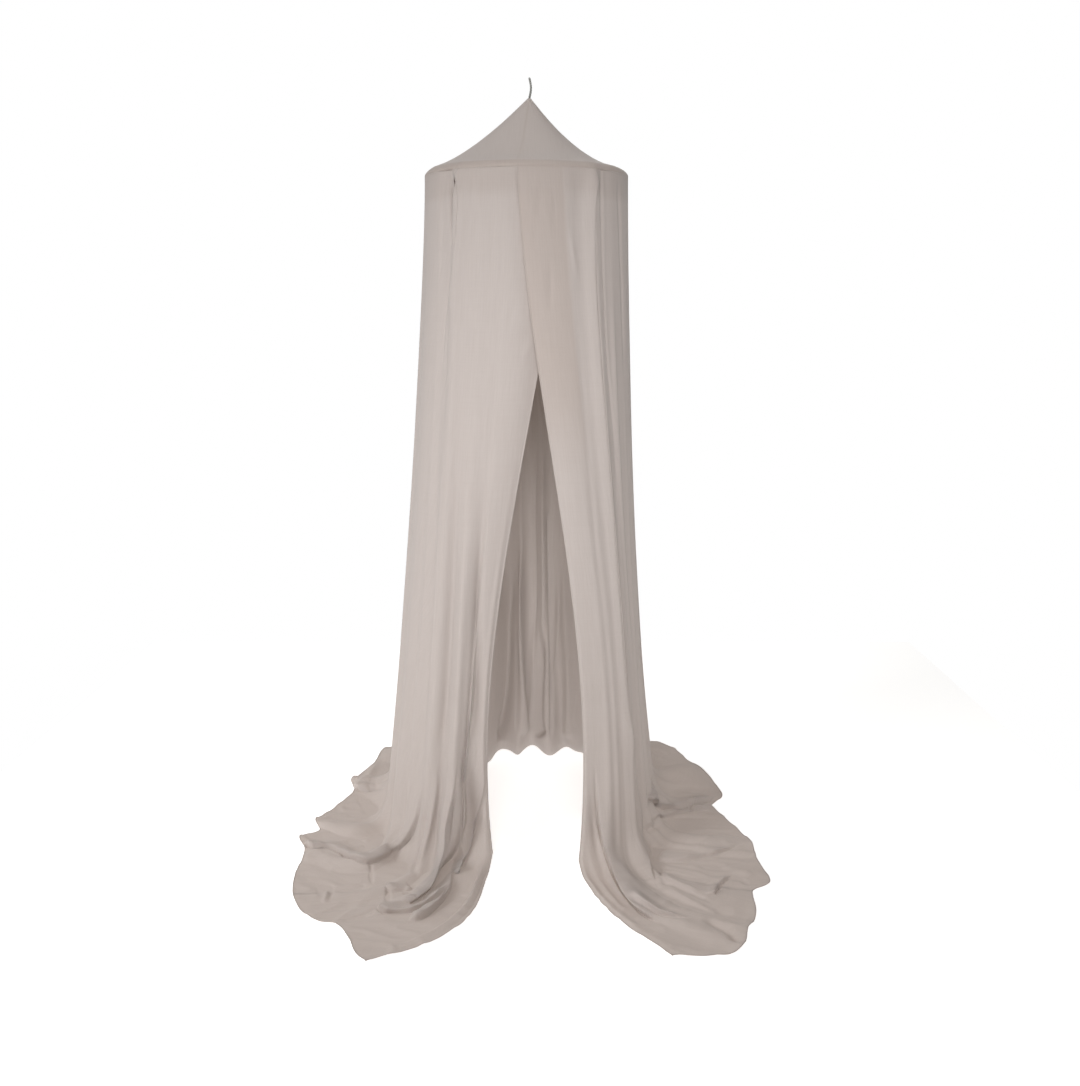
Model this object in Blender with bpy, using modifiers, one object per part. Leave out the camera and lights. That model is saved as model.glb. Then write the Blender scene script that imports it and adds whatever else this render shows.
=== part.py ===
"""Mosquito net canopy: a cloth roof and split skirt that hang from one loop and a round hoop.

The skirt is longer than the drop, so it bends on the floor and lies there as a train that
opens to the left and the right of the front split. Every piece is modelled above the floor
point under the hoop's centre, and hangs from one empty that puts the hook's bearing point in
the loop at the world's origin.

Units are metres, +Z is up and the split faces -Y. "Turn" is the angle in degrees walked round
the hoop from the front by the left side (90), the back (180) and the right side (270).
"""

import math

import bmesh
import bpy
import numpy as np

# Driving dimensions
HOOP_RADIUS = 0.250          # to the middle of the cloth at the seam
SEAM_HEIGHT = 1.609          # seam of roof and skirt above the floor
APEX_HEIGHT = 1.8005         # top of the roof
APEX_OFFSET_X = 0.0077       # the apex hangs a little to the right of the hoop's centre
LOOP_TOP = 1.8447            # highest point of the hanging loop
CLOTH = 0.002                # thickness of the cloth
PIECE_GAP = 0.0003           # between pieces that are sewn or seated together

RING_STEPS = 48              # round the roof and the hoop, so that their facets line up

# Hoop and hanging loop
HOOP_ROD_RADIUS = 0.004
HOOP_INSET = 0.0062          # rod's centre inside the cloth's middle surface
HOOP_RISE = 0.0045           # rod's centre above the seam
HOOP_ROD_SIDES = 8
LOOP_CORD_RADIUS = 0.0025
LOOP_HALF_WIDTH = 0.0085     # to the cord's centre
LOOP_LEAN = 0.0036           # sideways lean of the loop at half height
LOOP_ARC_STEPS = 8           # in each round end
LOOP_SIDE_STEPS = 3          # in each straight side

# Roof
ROOF_EDGE_DROP = 0.0160      # height of the round-over above the seam
ROOF_EDGE_START = 0.92       # share of the radius where the round-over starts
ROOF_BAND = 0.003            # upright band of roof cloth just above the seam
ROOF_CURVE = 1.54            # above 1 makes the cone hollow
ROOF_CURVE_SIDE = 0.12       # hollower on the right, fuller on the left
ROOF_SAG = 0.0025            # shallow sag between the gores
ROOF_GORES = 4
ROOF_RINGS = 6               # between the apex and the round-over
ROOF_EDGE_ANGLES = (30, 52, 72, 90)  # of the rings down the round-over
APEX_FLAT_RADIUS = 0.004
WELD_DISTANCE = 0.00001      # joins the first and last profile of the turned roof

# Skirt
FLOOR_BEND = 0.10            # length of the bend on each side of the foot
SIDE_BEND_SHARE = 0.8        # of the shorter length beside the bend on the floor
FLARE_POWER = 1.35           # above 1 keeps the spread for the lower half of the drop
BOW_PEAK = 0.148             # largest value of the bow's own curve
SEAM_GAP_DEG = 0.12          # 0.5 mm at the hoop
LAP_TOP = 0.0024             # right flap in front of the left one, at the seam
LAP_FRONT = 0.0060           # the same, a hand below the seam
LAP_BACK = 0.0050            # left flap set back behind the right one
LAP_RUN = 0.06               # length over which the flaps part below the seam
LAP_FADE_DEG = 10.0          # turn over which the offset fades out
LAP_LEFT_END = 16.0          # turn up to which the left flap is set back in full
LAP_RIGHT_START = 340.0      # turn from which the right flap stands forward in full
NORMAL_TURN_STEP = 0.6       # steps that measure the cloth's outward direction
NORMAL_RUN_STEP = 0.004

# Panels: first and last turn, widest column in degrees
PANELS = {
    "left_front_panel": (-20.0, 41.0, 3.2),
    "back_panel": (41.0, 318.0, 5.5),
    "right_front_panel": (318.0, 364.0, 3.2),
}
SKIRT_ROWS = 28
HANG_SHARE = 0.29            # share of the rows above the bend
BEND_SHARE = 0.57            # share of the rows above the bend's end

# Each row is one line of cloth from the hoop to the hem: where it would meet the floor (foot),
# where it turns sideways on the floor (bend), where it ends (hem), and how far it bows sideways.
FALL_COLUMNS = ("turn", "foot_x", "foot_y", "bend_x", "bend_y", "hem_x", "hem_y", "bow_x")
FALL_LINES = (
    (-20, -0.088, -0.330, -0.122, -0.765, -0.318, -0.857, -0.055),   # left free edge
    (-10, -0.108, -0.380, -0.148, -0.735, -0.345, -0.826, -0.046),
    (0, -0.132, -0.410, -0.172, -0.700, -0.367, -0.768, -0.030),
    (12, -0.160, -0.425, -0.190, -0.665, -0.402, -0.714, -0.012),
    (24, -0.192, -0.420, -0.212, -0.640, -0.457, -0.694, 0.000),
    (34, -0.227, -0.415, -0.250, -0.600, -0.499, -0.638, 0.000),
    (42, -0.260, -0.395, -0.285, -0.570, -0.522, -0.580, 0.000),     # left side seam
    (52, -0.294, -0.360, -0.325, -0.550, -0.536, -0.480, 0.000),
    (62, -0.320, -0.310, -0.355, -0.530, -0.536, -0.370, 0.000),
    (70, -0.336, -0.270, -0.375, -0.470, -0.563, -0.291, 0.000),     # tip
    (77, -0.348, -0.225, -0.390, -0.380, -0.524, -0.248, 0.000),
    (85, -0.356, -0.185, -0.405, -0.290, -0.541, -0.203, 0.000),     # tip
    (97, -0.360, -0.100, -0.405, -0.150, -0.504, -0.096, 0.000),
    (107, -0.360, -0.030, -0.403, -0.040, -0.474, 0.000, 0.000),
    (116, -0.356, 0.040, -0.398, 0.050, -0.491, 0.058, 0.000),       # tip
    (130, -0.335, 0.120, -0.380, 0.160, -0.450, 0.190, 0.000),
    (142, -0.295, 0.180, -0.345, 0.250, -0.430, 0.310, 0.000),
    (148, -0.258, 0.200, -0.310, 0.290, -0.405, 0.330, 0.000),
    (155, -0.212, 0.195, -0.255, 0.340, -0.350, 0.400, 0.000),
    (168, -0.120, 0.188, -0.150, 0.400, -0.200, 0.560, 0.000),
    (180, 0.000, 0.205, 0.000, 0.430, 0.010, 0.610, 0.000),
    (192, 0.120, 0.212, 0.150, 0.400, 0.210, 0.550, 0.000),
    (205, 0.222, 0.215, 0.265, 0.340, 0.345, 0.400, 0.000),
    (212, 0.262, 0.195, 0.315, 0.290, 0.394, 0.352, -0.004),
    (219, 0.292, 0.165, 0.345, 0.245, 0.434, 0.316, -0.008),
    (230, 0.318, 0.110, 0.376, 0.180, 0.462, 0.235, -0.011),
    (242, 0.332, 0.040, 0.392, 0.060, 0.512, 0.062, -0.012),
    (250, 0.335, -0.010, 0.392, -0.010, 0.527, -0.028, -0.012),      # tip
    (259, 0.335, -0.060, 0.385, -0.080, 0.487, -0.100, -0.012),
    (268, 0.332, -0.120, 0.388, -0.160, 0.506, -0.165, -0.012),
    (280, 0.324, -0.190, 0.388, -0.250, 0.536, -0.250, -0.010),
    (290, 0.312, -0.250, 0.386, -0.330, 0.552, -0.335, -0.008),
    (300, 0.296, -0.305, 0.376, -0.400, 0.552, -0.415, -0.004),
    (308, 0.282, -0.350, 0.350, -0.460, 0.562, -0.520, 0.000),       # tip
    (317, 0.266, -0.385, 0.325, -0.530, 0.514, -0.568, 0.004),       # right side seam
    (326, 0.244, -0.405, 0.295, -0.600, 0.503, -0.668, 0.012),
    (338, 0.214, -0.422, 0.258, -0.645, 0.474, -0.740, 0.026),
    (348, 0.184, -0.438, 0.222, -0.650, 0.440, -0.830, 0.043),       # corner tip
    (356, 0.156, -0.450, 0.188, -0.650, 0.368, -0.848, 0.057),
    (364, 0.130, -0.450, 0.158, -0.650, 0.300, -0.850, 0.066),       # right free edge
)

# Each row is one fold down a fall line: its place, half width in degrees, and how far the
# cloth stands out (in mm, negative is inwards) at the hoop, chest, knee, foot, floor and hem.
FOLD_STATIONS = ("hoop", "chest", "knee", "foot", "floor", "hem")
FOLD_COLUMNS = ("turn", "half_width") + FOLD_STATIONS
FOLDS = (
    (-14, 3.0, 0, 0, 3, 9, 16, 5),        # left front: ridge beside the free edge
    (-3, 5.0, 0, -3, -10, -18, -8, -4),   # deep trough
    (21, 6.5, 0, 4, 9, 18, 20, 3),        # front ridge
    (31, 3.5, 0, -2, -6, -8, -8, -2),
    (38, 3.5, 5, 7, 8, 10, 10, 3),        # ridge by the side seam
    (48, 5.0, -5, -6, -6, -8, -10, -6),
    (64, 5.0, 0, 2, 5, 14, 24, 9),        # swag over the train
    (76, 4.0, 0, -3, -5, -8, -12, -8),
    (85, 4.0, 0, 3, 5, 9, 18, 10),
    (99, 5.0, 0, -3, -6, -10, -10, -6),
    (115, 5.0, 0, 4, 8, 14, 20, 10),
    (129, 5.0, 0, -5, -10, -14, -12, -4),
    (142, 5.0, 0, 5, 10, 16, 18, 8),
    (154, 5.0, 0, -6, -12, -18, -12, -4),
    (166, 4.0, 0, -8, -18, -34, -12, -6),  # back wall: scalloped foot
    (173, 3.2, 0, 8, 16, 22, 14, 6),
    (181, 2.6, 0, 8, 18, 34, 16, 8),
    (186, 2.6, 0, -4, -8, -10, -8, -4),
    (190, 2.8, 0, 5, 12, 24, 12, 6),
    (200, 5.0, 0, -6, -10, -12, -10, -4),
    (213, 5.0, 0, 5, 9, 14, 16, 8),
    (226, 5.0, 0, -5, -9, -14, -10, -4),
    (238, 5.0, 0, 4, 8, 14, 26, 12),      # puffed lobe at the right
    (251, 4.5, 0, -3, -7, -10, -8, -6),
    (262, 5.0, 0, 3, 6, 10, 14, 6),
    (276, 5.0, 0, -3, -5, -10, -10, -6),
    (290, 5.5, 0, 3, 6, 12, 18, 8),
    (304, 4.0, 0, -2, -5, -12, -10, -6),
    (312, 4.0, -3, -6, -7, -10, -6, -4),
    (321, 4.0, 4, 6, 7, 8, 10, 4),        # ridge by the right side seam
    (331, 4.0, 0, 0, -2, -4, -8, -4),
    (346, 3.6, 0, 0, 6, 16, 22, 8),       # swooping ridge
    (355, 3.5, 0, 0, -6, -16, -14, -6),   # shadowed trough
    (362, 2.4, 0, 0, 2, 4, 9, 3),
)
CHEST_SHARE = 0.35           # of the way from hoop to foot
KNEE_SHARE = 0.70
FLOOR_REACH = 0.13           # past the foot
MILLIMETRE = 0.001

# Colours are linear
CLOTH_COLOR = (0.485, 0.418, 0.376, 1.0)
CORD_COLOR = (0.343, 0.343, 0.330, 1.0)
HOOP_COLOR = (0.600, 0.590, 0.570, 1.0)


def clear_scene():
    """Remove every object of the scene the script starts in."""
    for item in list(bpy.data.objects):
        bpy.data.objects.remove(item, do_unlink=True)


def make_material(name, color, roughness, metallic=0.0):
    """Return a Principled material."""
    material = bpy.data.materials.new(name)
    material.use_nodes = True
    shader = material.node_tree.nodes["Principled BSDF"]
    shader.inputs["Base Color"].default_value = color
    shader.inputs["Roughness"].default_value = roughness
    shader.inputs["Metallic"].default_value = metallic
    return material


def add_to_canopy(piece, material, collection, frame_empty):
    """Put a piece in the canopy's collection, dress it and hang it on the empty."""
    for old in list(piece.users_collection):
        old.objects.unlink(piece)
    collection.objects.link(piece)
    piece.data.materials.clear()
    piece.data.materials.append(material)
    piece.parent = frame_empty


def smooth_step(value):
    """Return 0 below 0, 1 above 1 and a soft blend between."""
    clipped = np.clip(value, 0.0, 1.0)
    return clipped * clipped * (3.0 - 2.0 * clipped)


def soft_ramp(value, half_width):
    """Return max(value, 0) with its corner rounded over half_width on each side."""
    inside = np.clip(value + half_width, 0.0, 2.0 * half_width)
    return inside * inside / (4.0 * half_width) + np.maximum(value - half_width, 0.0)


def read_curve(table, column, turn):
    """Interpolate one column of a table over the turn with a smooth cubic."""
    knots = np.array([row[0] for row in table], dtype=float)
    values = np.array([row[column] for row in table], dtype=float)
    slopes = np.gradient(values, knots)
    cell = np.clip(np.searchsorted(knots, turn, side="right") - 1, 0, len(knots) - 2)
    width = knots[cell + 1] - knots[cell]
    share = np.clip((turn - knots[cell]) / width, 0.0, 1.0)
    start, end = values[cell], values[cell + 1]
    square, cube = share ** 2, share ** 3
    return ((2 * cube - 3 * square + 1) * start + (cube - 2 * square + share) * width * slopes[cell]
            + (3 * square - 2 * cube) * end + (cube - square) * width * slopes[cell + 1])


class FallLines:
    """The lines of cloth through an array of turns."""

    def __init__(self, turn):
        radians = np.radians(turn)
        fall = {name: read_curve(FALL_LINES, index, turn)
                for index, name in enumerate(FALL_COLUMNS) if index > 0}
        flat = np.zeros_like(turn)
        floor = np.full_like(turn, CLOTH / 2)
        top = SEAM_HEIGHT - PIECE_GAP
        self.hoop = np.stack([-HOOP_RADIUS * np.sin(radians), -HOOP_RADIUS * np.cos(radians),
                              np.full_like(turn, top)], axis=1)
        foot = np.stack([fall["foot_x"], fall["foot_y"], floor], axis=1)
        bend = np.stack([fall["bend_x"], fall["bend_y"], floor], axis=1)
        hem = np.stack([fall["hem_x"], fall["hem_y"], floor], axis=1)
        self.drop_length, self.drop_way = self.measure(self.hoop, foot)
        self.lie_length, self.lie_way = self.measure(foot, bend)
        self.tail_length, self.tail_way = self.measure(bend, hem)
        self.side_bend = SIDE_BEND_SHARE * np.minimum(self.lie_length, self.tail_length)
        self.bow = np.stack([fall["bow_x"], flat, flat], axis=1)
        self.spread = (foot - self.hoop) * (1.0, 1.0, 0.0)

    @staticmethod
    def measure(start, end):
        """Return the lengths and the unit directions from start to end."""
        step = end - start
        length = np.linalg.norm(step, axis=1)
        return length, step / length[:, None]

    def length_at(self, run):
        """Return the length along each line for run from 0 (hoop) to 1 (hem)."""
        whole = self.drop_length + self.lie_length + self.tail_length
        above = self.drop_length - FLOOR_BEND
        below = self.drop_length + FLOOR_BEND
        hang = above * np.clip(run / HANG_SHARE, 0, 1)
        turn_over = (below - above) * np.clip((run - HANG_SHARE) / (BEND_SHARE - HANG_SHARE), 0, 1)
        lie = (whole - below) * np.clip((run - BEND_SHARE) / (1 - BEND_SHARE), 0, 1)
        return hang + turn_over + lie

    def points(self, length):
        """Return the points of the plain cloth at these lengths from the hoop."""
        over = soft_ramp(length - self.drop_length, FLOOR_BEND)[:, None]
        aside = soft_ramp(length - self.drop_length - self.lie_length, self.side_bend)[:, None]
        share = np.clip(length / self.drop_length, 0, 1)
        bow = (share ** 2 * (1 - share) / BOW_PEAK)[:, None]
        flare = (share ** FLARE_POWER - share)[:, None]
        return (self.hoop + self.drop_way * length[:, None] + (self.lie_way - self.drop_way) * over
                + (self.tail_way - self.lie_way) * aside + self.bow * bow + self.spread * flare)


def plain_cloth(turn, run):
    """Return the points of the skirt without its folds."""
    lines = FallLines(turn)
    return lines.points(lines.length_at(run))


def cloth_normals(turn, run):
    """Return the outward unit normals of the skirt without its folds."""
    across = plain_cloth(turn + NORMAL_TURN_STEP, run) - plain_cloth(turn - NORMAL_TURN_STEP, run)
    lower = np.clip(run + NORMAL_RUN_STEP, 0, 1)
    upper = np.clip(run - NORMAL_RUN_STEP, 0, 1)
    down = plain_cloth(turn, lower) - plain_cloth(turn, upper)
    normal = np.cross(across, down)
    return normal / np.linalg.norm(normal, axis=1)[:, None]


def fold_height(turn, run):
    """Return how far the folds stand out from the plain cloth, in metres."""
    lines = FallLines(turn)
    length = lines.length_at(run)
    whole = lines.drop_length + lines.lie_length + lines.tail_length
    drop = lines.drop_length
    stations = (0 * drop, CHEST_SHARE * drop, KNEE_SHARE * drop, drop, drop + FLOOR_REACH, whole)
    height = np.zeros_like(turn)
    for row in FOLDS:
        fold = dict(zip(FOLD_COLUMNS, row))
        levels = [fold[station] for station in FOLD_STATIONS]
        along = np.full_like(turn, levels[0])
        for index in range(len(levels) - 1):
            share = (length - stations[index]) / (stations[index + 1] - stations[index])
            along = along + (levels[index + 1] - levels[index]) * smooth_step(share)
        height = height + along * np.exp(-((turn - fold["turn"]) / fold["half_width"]) ** 2)
    return height * MILLIMETRE


def lap_offset(turn, length, name):
    """Return how far a front flap stands before or behind the other where they overlap."""
    grow = smooth_step(length / LAP_RUN)
    if name == "right_front_panel":
        share = smooth_step((turn - LAP_RIGHT_START) / LAP_FADE_DEG + 1.0)
        return share * (LAP_TOP + (LAP_FRONT - LAP_TOP) * grow)
    if name == "left_front_panel":
        share = 1.0 - smooth_step((turn - LAP_LEFT_END) / LAP_FADE_DEG)
        return -share * LAP_BACK * grow
    return np.zeros_like(turn)


def skirt_points(name, turn, run):
    """Return the points of one panel's middle surface."""
    lines = FallLines(turn)
    length = lines.length_at(run)
    plain = lines.points(length)
    offset = fold_height(turn, run) + lap_offset(turn, length, name)
    points = plain + cloth_normals(turn, run) * offset[:, None]
    points[:, 2] = np.maximum(points[:, 2], CLOTH / 2)
    return points


def column_turns(name):
    """Return the turns of one panel's columns: its edges, every fold's crest, and between them."""
    first, last, widest = PANELS[name]
    start = first if name == "left_front_panel" else first + SEAM_GAP_DEG / 2
    end = last if name == "right_front_panel" else last - SEAM_GAP_DEG / 2
    crests = [row[FOLD_COLUMNS.index("turn")] for row in FOLDS]
    stops = [start] + [crest for crest in crests if start + 1 < crest < end - 1] + [end]
    turns = [start]
    for low, high in zip(stops, stops[1:]):
        parts = max(2, round((high - low) / widest))
        turns += [low + (high - low) * (index + 1) / parts for index in range(parts)]
    return np.array(turns)


def make_panel(name):
    """Return one panel of the skirt: a grid laid on the folded surface and given its thickness."""
    turns = column_turns(name)
    columns = len(turns) - 1
    mesh = bpy.data.meshes.new(name)
    grid = bmesh.new()
    bmesh.ops.create_grid(grid, x_segments=columns, y_segments=SKIRT_ROWS, size=1.0)
    flat = np.array([vert.co[:] for vert in grid.verts])
    turn = np.interp((flat[:, 0] + 1) / 2 * columns, np.arange(columns + 1), turns)
    run = (1 - flat[:, 1]) / 2
    for vert, point in zip(grid.verts, skirt_points(name, turn, run)):
        vert.co = point
    bmesh.ops.reverse_faces(grid, faces=grid.faces)
    grid.to_mesh(mesh)
    grid.free()
    mesh.shade_smooth()
    panel = bpy.data.objects.new(name, mesh)
    give_thickness(panel, 0.0)
    return panel


def give_thickness(piece, offset):
    """Give an open surface the cloth's thickness."""
    solid = piece.modifiers.new("cloth thickness", "SOLIDIFY")
    solid.thickness = CLOTH
    solid.offset = offset
    solid.use_rim = True


def roof_height(share, around=math.pi / 2):
    """Return the roof's height above the floor at a share of the rim's radius."""
    curve = ROOF_CURVE + ROOF_CURVE_SIDE * np.cos(around)
    edge = np.clip((share - ROOF_EDGE_START) / (1 - ROOF_EDGE_START), 0, 1)
    round_over = ROOF_EDGE_DROP - ROOF_BAND
    rise = APEX_HEIGHT - SEAM_HEIGHT - ROOF_EDGE_DROP
    return (SEAM_HEIGHT + ROOF_BAND + round_over * np.sqrt(1 - edge ** 2)
            + rise * (1 - share) ** curve)


def make_roof():
    """Return the roof: a hollow profile turned about Z, then sagged and leaned to its apex."""
    rim = HOOP_RADIUS + CLOTH / 2
    inner = np.linspace(APEX_FLAT_RADIUS / rim, ROOF_EDGE_START, ROOF_RINGS)
    edge = ROOF_EDGE_START + (1 - ROOF_EDGE_START) * np.sin(np.radians(ROOF_EDGE_ANGLES))
    shares = np.concatenate([inner, edge])
    top = roof_height(shares[0])
    mesh = bpy.data.meshes.new("roof")
    body = bmesh.new()
    profile = [body.verts.new((0.0, 0.0, top))]
    profile += [body.verts.new((rim * share, 0.0, roof_height(share))) for share in shares]
    profile += [body.verts.new((rim, 0.0, SEAM_HEIGHT))]
    edges = [body.edges.new(pair) for pair in zip(profile, profile[1:])]
    bmesh.ops.spin(body, geom=profile + edges, cent=(0, 0, 0), axis=(0, 0, 1),
                   angle=math.tau, steps=RING_STEPS, use_duplicate=False)
    bmesh.ops.remove_doubles(body, verts=body.verts, dist=WELD_DISTANCE)
    for vert in body.verts:
        share = math.hypot(vert.co.x, vert.co.y) / rim
        around = math.atan2(vert.co.y, vert.co.x)
        loose = 4 * share * (1 - share)
        if share > 0.0 and vert.co.z > SEAM_HEIGHT + ROOF_BAND / 2:
            vert.co.z = roof_height(min(share, 1.0), around)
        vert.co.z -= ROOF_SAG * loose * (1 + math.cos(ROOF_GORES * around)) / 2
        vert.co.x += APEX_OFFSET_X * (1 - share) ** 2
    bmesh.ops.recalc_face_normals(body, faces=body.faces)
    if sum(face.normal.z * face.calc_area() for face in body.faces) < 0:
        bmesh.ops.reverse_faces(body, faces=body.faces)
    body.to_mesh(mesh)
    body.free()
    mesh.shade_smooth()
    roof = bpy.data.objects.new("roof", mesh)
    give_thickness(roof, -1.0)
    return roof


def make_hoop():
    """Return the round rod that spreads the canopy, inside the seam of roof and skirt."""
    bpy.ops.mesh.primitive_torus_add(
        major_segments=RING_STEPS, minor_segments=HOOP_ROD_SIDES,
        major_radius=HOOP_RADIUS - HOOP_INSET,
        minor_radius=HOOP_ROD_RADIUS, location=(0.0, 0.0, SEAM_HEIGHT + HOOP_RISE))
    hoop = bpy.context.active_object
    hoop.name = "hoop"
    hoop.data.name = "hoop"
    hoop.data.shade_smooth()
    return hoop


def make_loop():
    """Return the closed cord loop that stands on the apex, seen edge-on from the front."""
    seat = roof_height(APEX_FLAT_RADIUS / (HOOP_RADIUS + CLOTH / 2)) + PIECE_GAP
    low = seat + LOOP_CORD_RADIUS
    high = LOOP_TOP - LOOP_CORD_RADIUS
    curve = bpy.data.curves.new("hanging_loop", "CURVE")
    curve.dimensions = "3D"
    curve.bevel_depth = LOOP_CORD_RADIUS
    curve.bevel_resolution = 2
    route = []
    for end, centre in ((-1, low + LOOP_HALF_WIDTH), (1, high - LOOP_HALF_WIDTH)):
        other = low + high - centre
        for step in range(LOOP_ARC_STEPS + 1):
            angle = math.pi * step / LOOP_ARC_STEPS
            route.append((end * LOOP_HALF_WIDTH * math.cos(angle),
                          centre + end * LOOP_HALF_WIDTH * math.sin(angle)))
        for step in range(1, LOOP_SIDE_STEPS):
            share = step / LOOP_SIDE_STEPS
            route.append((-end * LOOP_HALF_WIDTH, centre + (other - centre) * share))
    spline = curve.splines.new("POLY")
    spline.points.add(len(route) - 1)
    for point, (side, height) in zip(spline.points, route):
        sway = math.sin(math.pi * (height - low) / (high - low))
        point.co = (LOOP_LEAN * sway, side, height, 1.0)
    spline.use_cyclic_u = True
    loop = bpy.data.objects.new("hanging_loop", curve)
    loop.location = (APEX_OFFSET_X, 0.0, 0.0)
    return loop


def main():
    """Build the canopy and hang it so that the hook's bearing point is the world's origin."""
    clear_scene()
    collection = bpy.data.collections.new("mosquito_net_canopy")
    bpy.context.scene.collection.children.link(collection)
    frame_empty = bpy.data.objects.new("floor_under_hoop", None)
    bearing_height = LOOP_TOP - 2 * LOOP_CORD_RADIUS
    frame_empty.location = (-APEX_OFFSET_X, 0.0, -bearing_height)
    collection.objects.link(frame_empty)
    cloth = make_material("muslin cloth", CLOTH_COLOR, 0.92)
    cord = make_material("cotton cord", CORD_COLOR, 0.85)
    rod = make_material("coated hoop", HOOP_COLOR, 0.45)
    add_to_canopy(make_loop(), cord, collection, frame_empty)
    add_to_canopy(make_roof(), cloth, collection, frame_empty)
    add_to_canopy(make_hoop(), rod, collection, frame_empty)
    for name in PANELS:
        add_to_canopy(make_panel(name), cloth, collection, frame_empty)
    bpy.context.view_layer.update()


main()
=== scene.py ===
"""Looks of the mosquito net canopy: a muslin roof and split skirt on a hoop, hung from one loop.

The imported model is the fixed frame. Each cloth here is a thin sheet on the main folds of its
solid, with finer folds and creases, and each piece rides on the model's one body. The flaps' free
edges fall a little further forward and to the left than the solids'.

Units are metres, +Z is up and the split faces -Y. "Turn" is the angle in degrees walked round
the hoop from the front (0) by the left side (90), the back (180) and the right side (270).
Shapes are worked out over the floor point under the hoop's centre and moved into the model's
frame at the end.
"""

import logging
import math
from dataclasses import dataclass, field
from enum import Enum

import bpy
import numpy as np
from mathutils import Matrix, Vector
from mathutils.bvhtree import BVHTree


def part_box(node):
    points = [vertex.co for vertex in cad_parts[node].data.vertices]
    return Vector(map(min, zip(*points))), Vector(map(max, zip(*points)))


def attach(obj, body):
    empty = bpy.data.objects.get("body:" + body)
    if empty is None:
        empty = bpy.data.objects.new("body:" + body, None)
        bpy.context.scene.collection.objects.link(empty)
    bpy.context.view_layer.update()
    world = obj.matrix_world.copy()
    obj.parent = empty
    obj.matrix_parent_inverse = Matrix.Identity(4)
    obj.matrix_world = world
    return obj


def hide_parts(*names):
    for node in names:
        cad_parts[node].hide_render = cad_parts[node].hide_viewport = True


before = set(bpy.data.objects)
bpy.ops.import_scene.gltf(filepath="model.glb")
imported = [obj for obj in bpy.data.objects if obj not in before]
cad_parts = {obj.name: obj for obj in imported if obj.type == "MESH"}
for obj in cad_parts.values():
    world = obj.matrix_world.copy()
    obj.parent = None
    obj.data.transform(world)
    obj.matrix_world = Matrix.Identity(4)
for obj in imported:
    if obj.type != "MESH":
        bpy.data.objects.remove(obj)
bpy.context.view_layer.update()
BODY = "root"
LOG = logging.getLogger("canopy")
MILLIMETRE = 0.001
PLACE, OUTWARD, FLAT, PAINTED_SHADE = slice(0, 3), slice(3, 6), slice(6, 8), 8     # columns of a sheet's grid; the last holds the painted shade of two-layer cloth
WAVE_RADIANS = 20.0          # that Blender's wave texture runs through in one unit

# The photograph's frame in pixels, and its camera over the floor point under the hoop
PHOTO_WIDTH, PHOTO_HEIGHT = 1080, 1086
FOCAL_PIXELS = 1177.8
SENSOR_WIDTH = 36.0
CAMERA_SIDE = 0.0333
CAMERA_DISTANCE = 3.025
CAMERA_HEIGHT = 1.2805
CAMERA_PITCH_DEG = 11.0

# Driving dimensions of the cloth, as in the solids
HOOP_RADIUS = 0.250
SEAM_HEIGHT = 1.609
APEX_HEIGHT = 1.8005
APEX_OFFSET_X = 0.0077
LOOP_TOP = 1.8447
PIECE_GAP = 0.0003
LOWEST = 0.0003              # lowest layer of cloth above the floor
FLOOR_CLEARANCE = 0.0026     # top layer of cloth above the floor, clear of its folded hem


@dataclass(frozen=True)
class FallLine:
    """One line of cloth: where it meets the floor, turns on the floor and ends, and its bow."""

    turn: float
    foot_x: float
    foot_y: float
    bend_x: float
    bend_y: float
    hem_x: float
    hem_y: float
    bow_x: float


@dataclass(frozen=True)
class Fold:
    """One fold down a fall line: how far it stands out, in mm, at six stations of the fall."""

    turn: float
    half_width: float
    hoop: float
    chest: float
    knee: float
    foot: float
    floor: float
    hem: float
    half_width_after: float = 0.0    # on the side of larger turns, where the fold is lopsided


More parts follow.
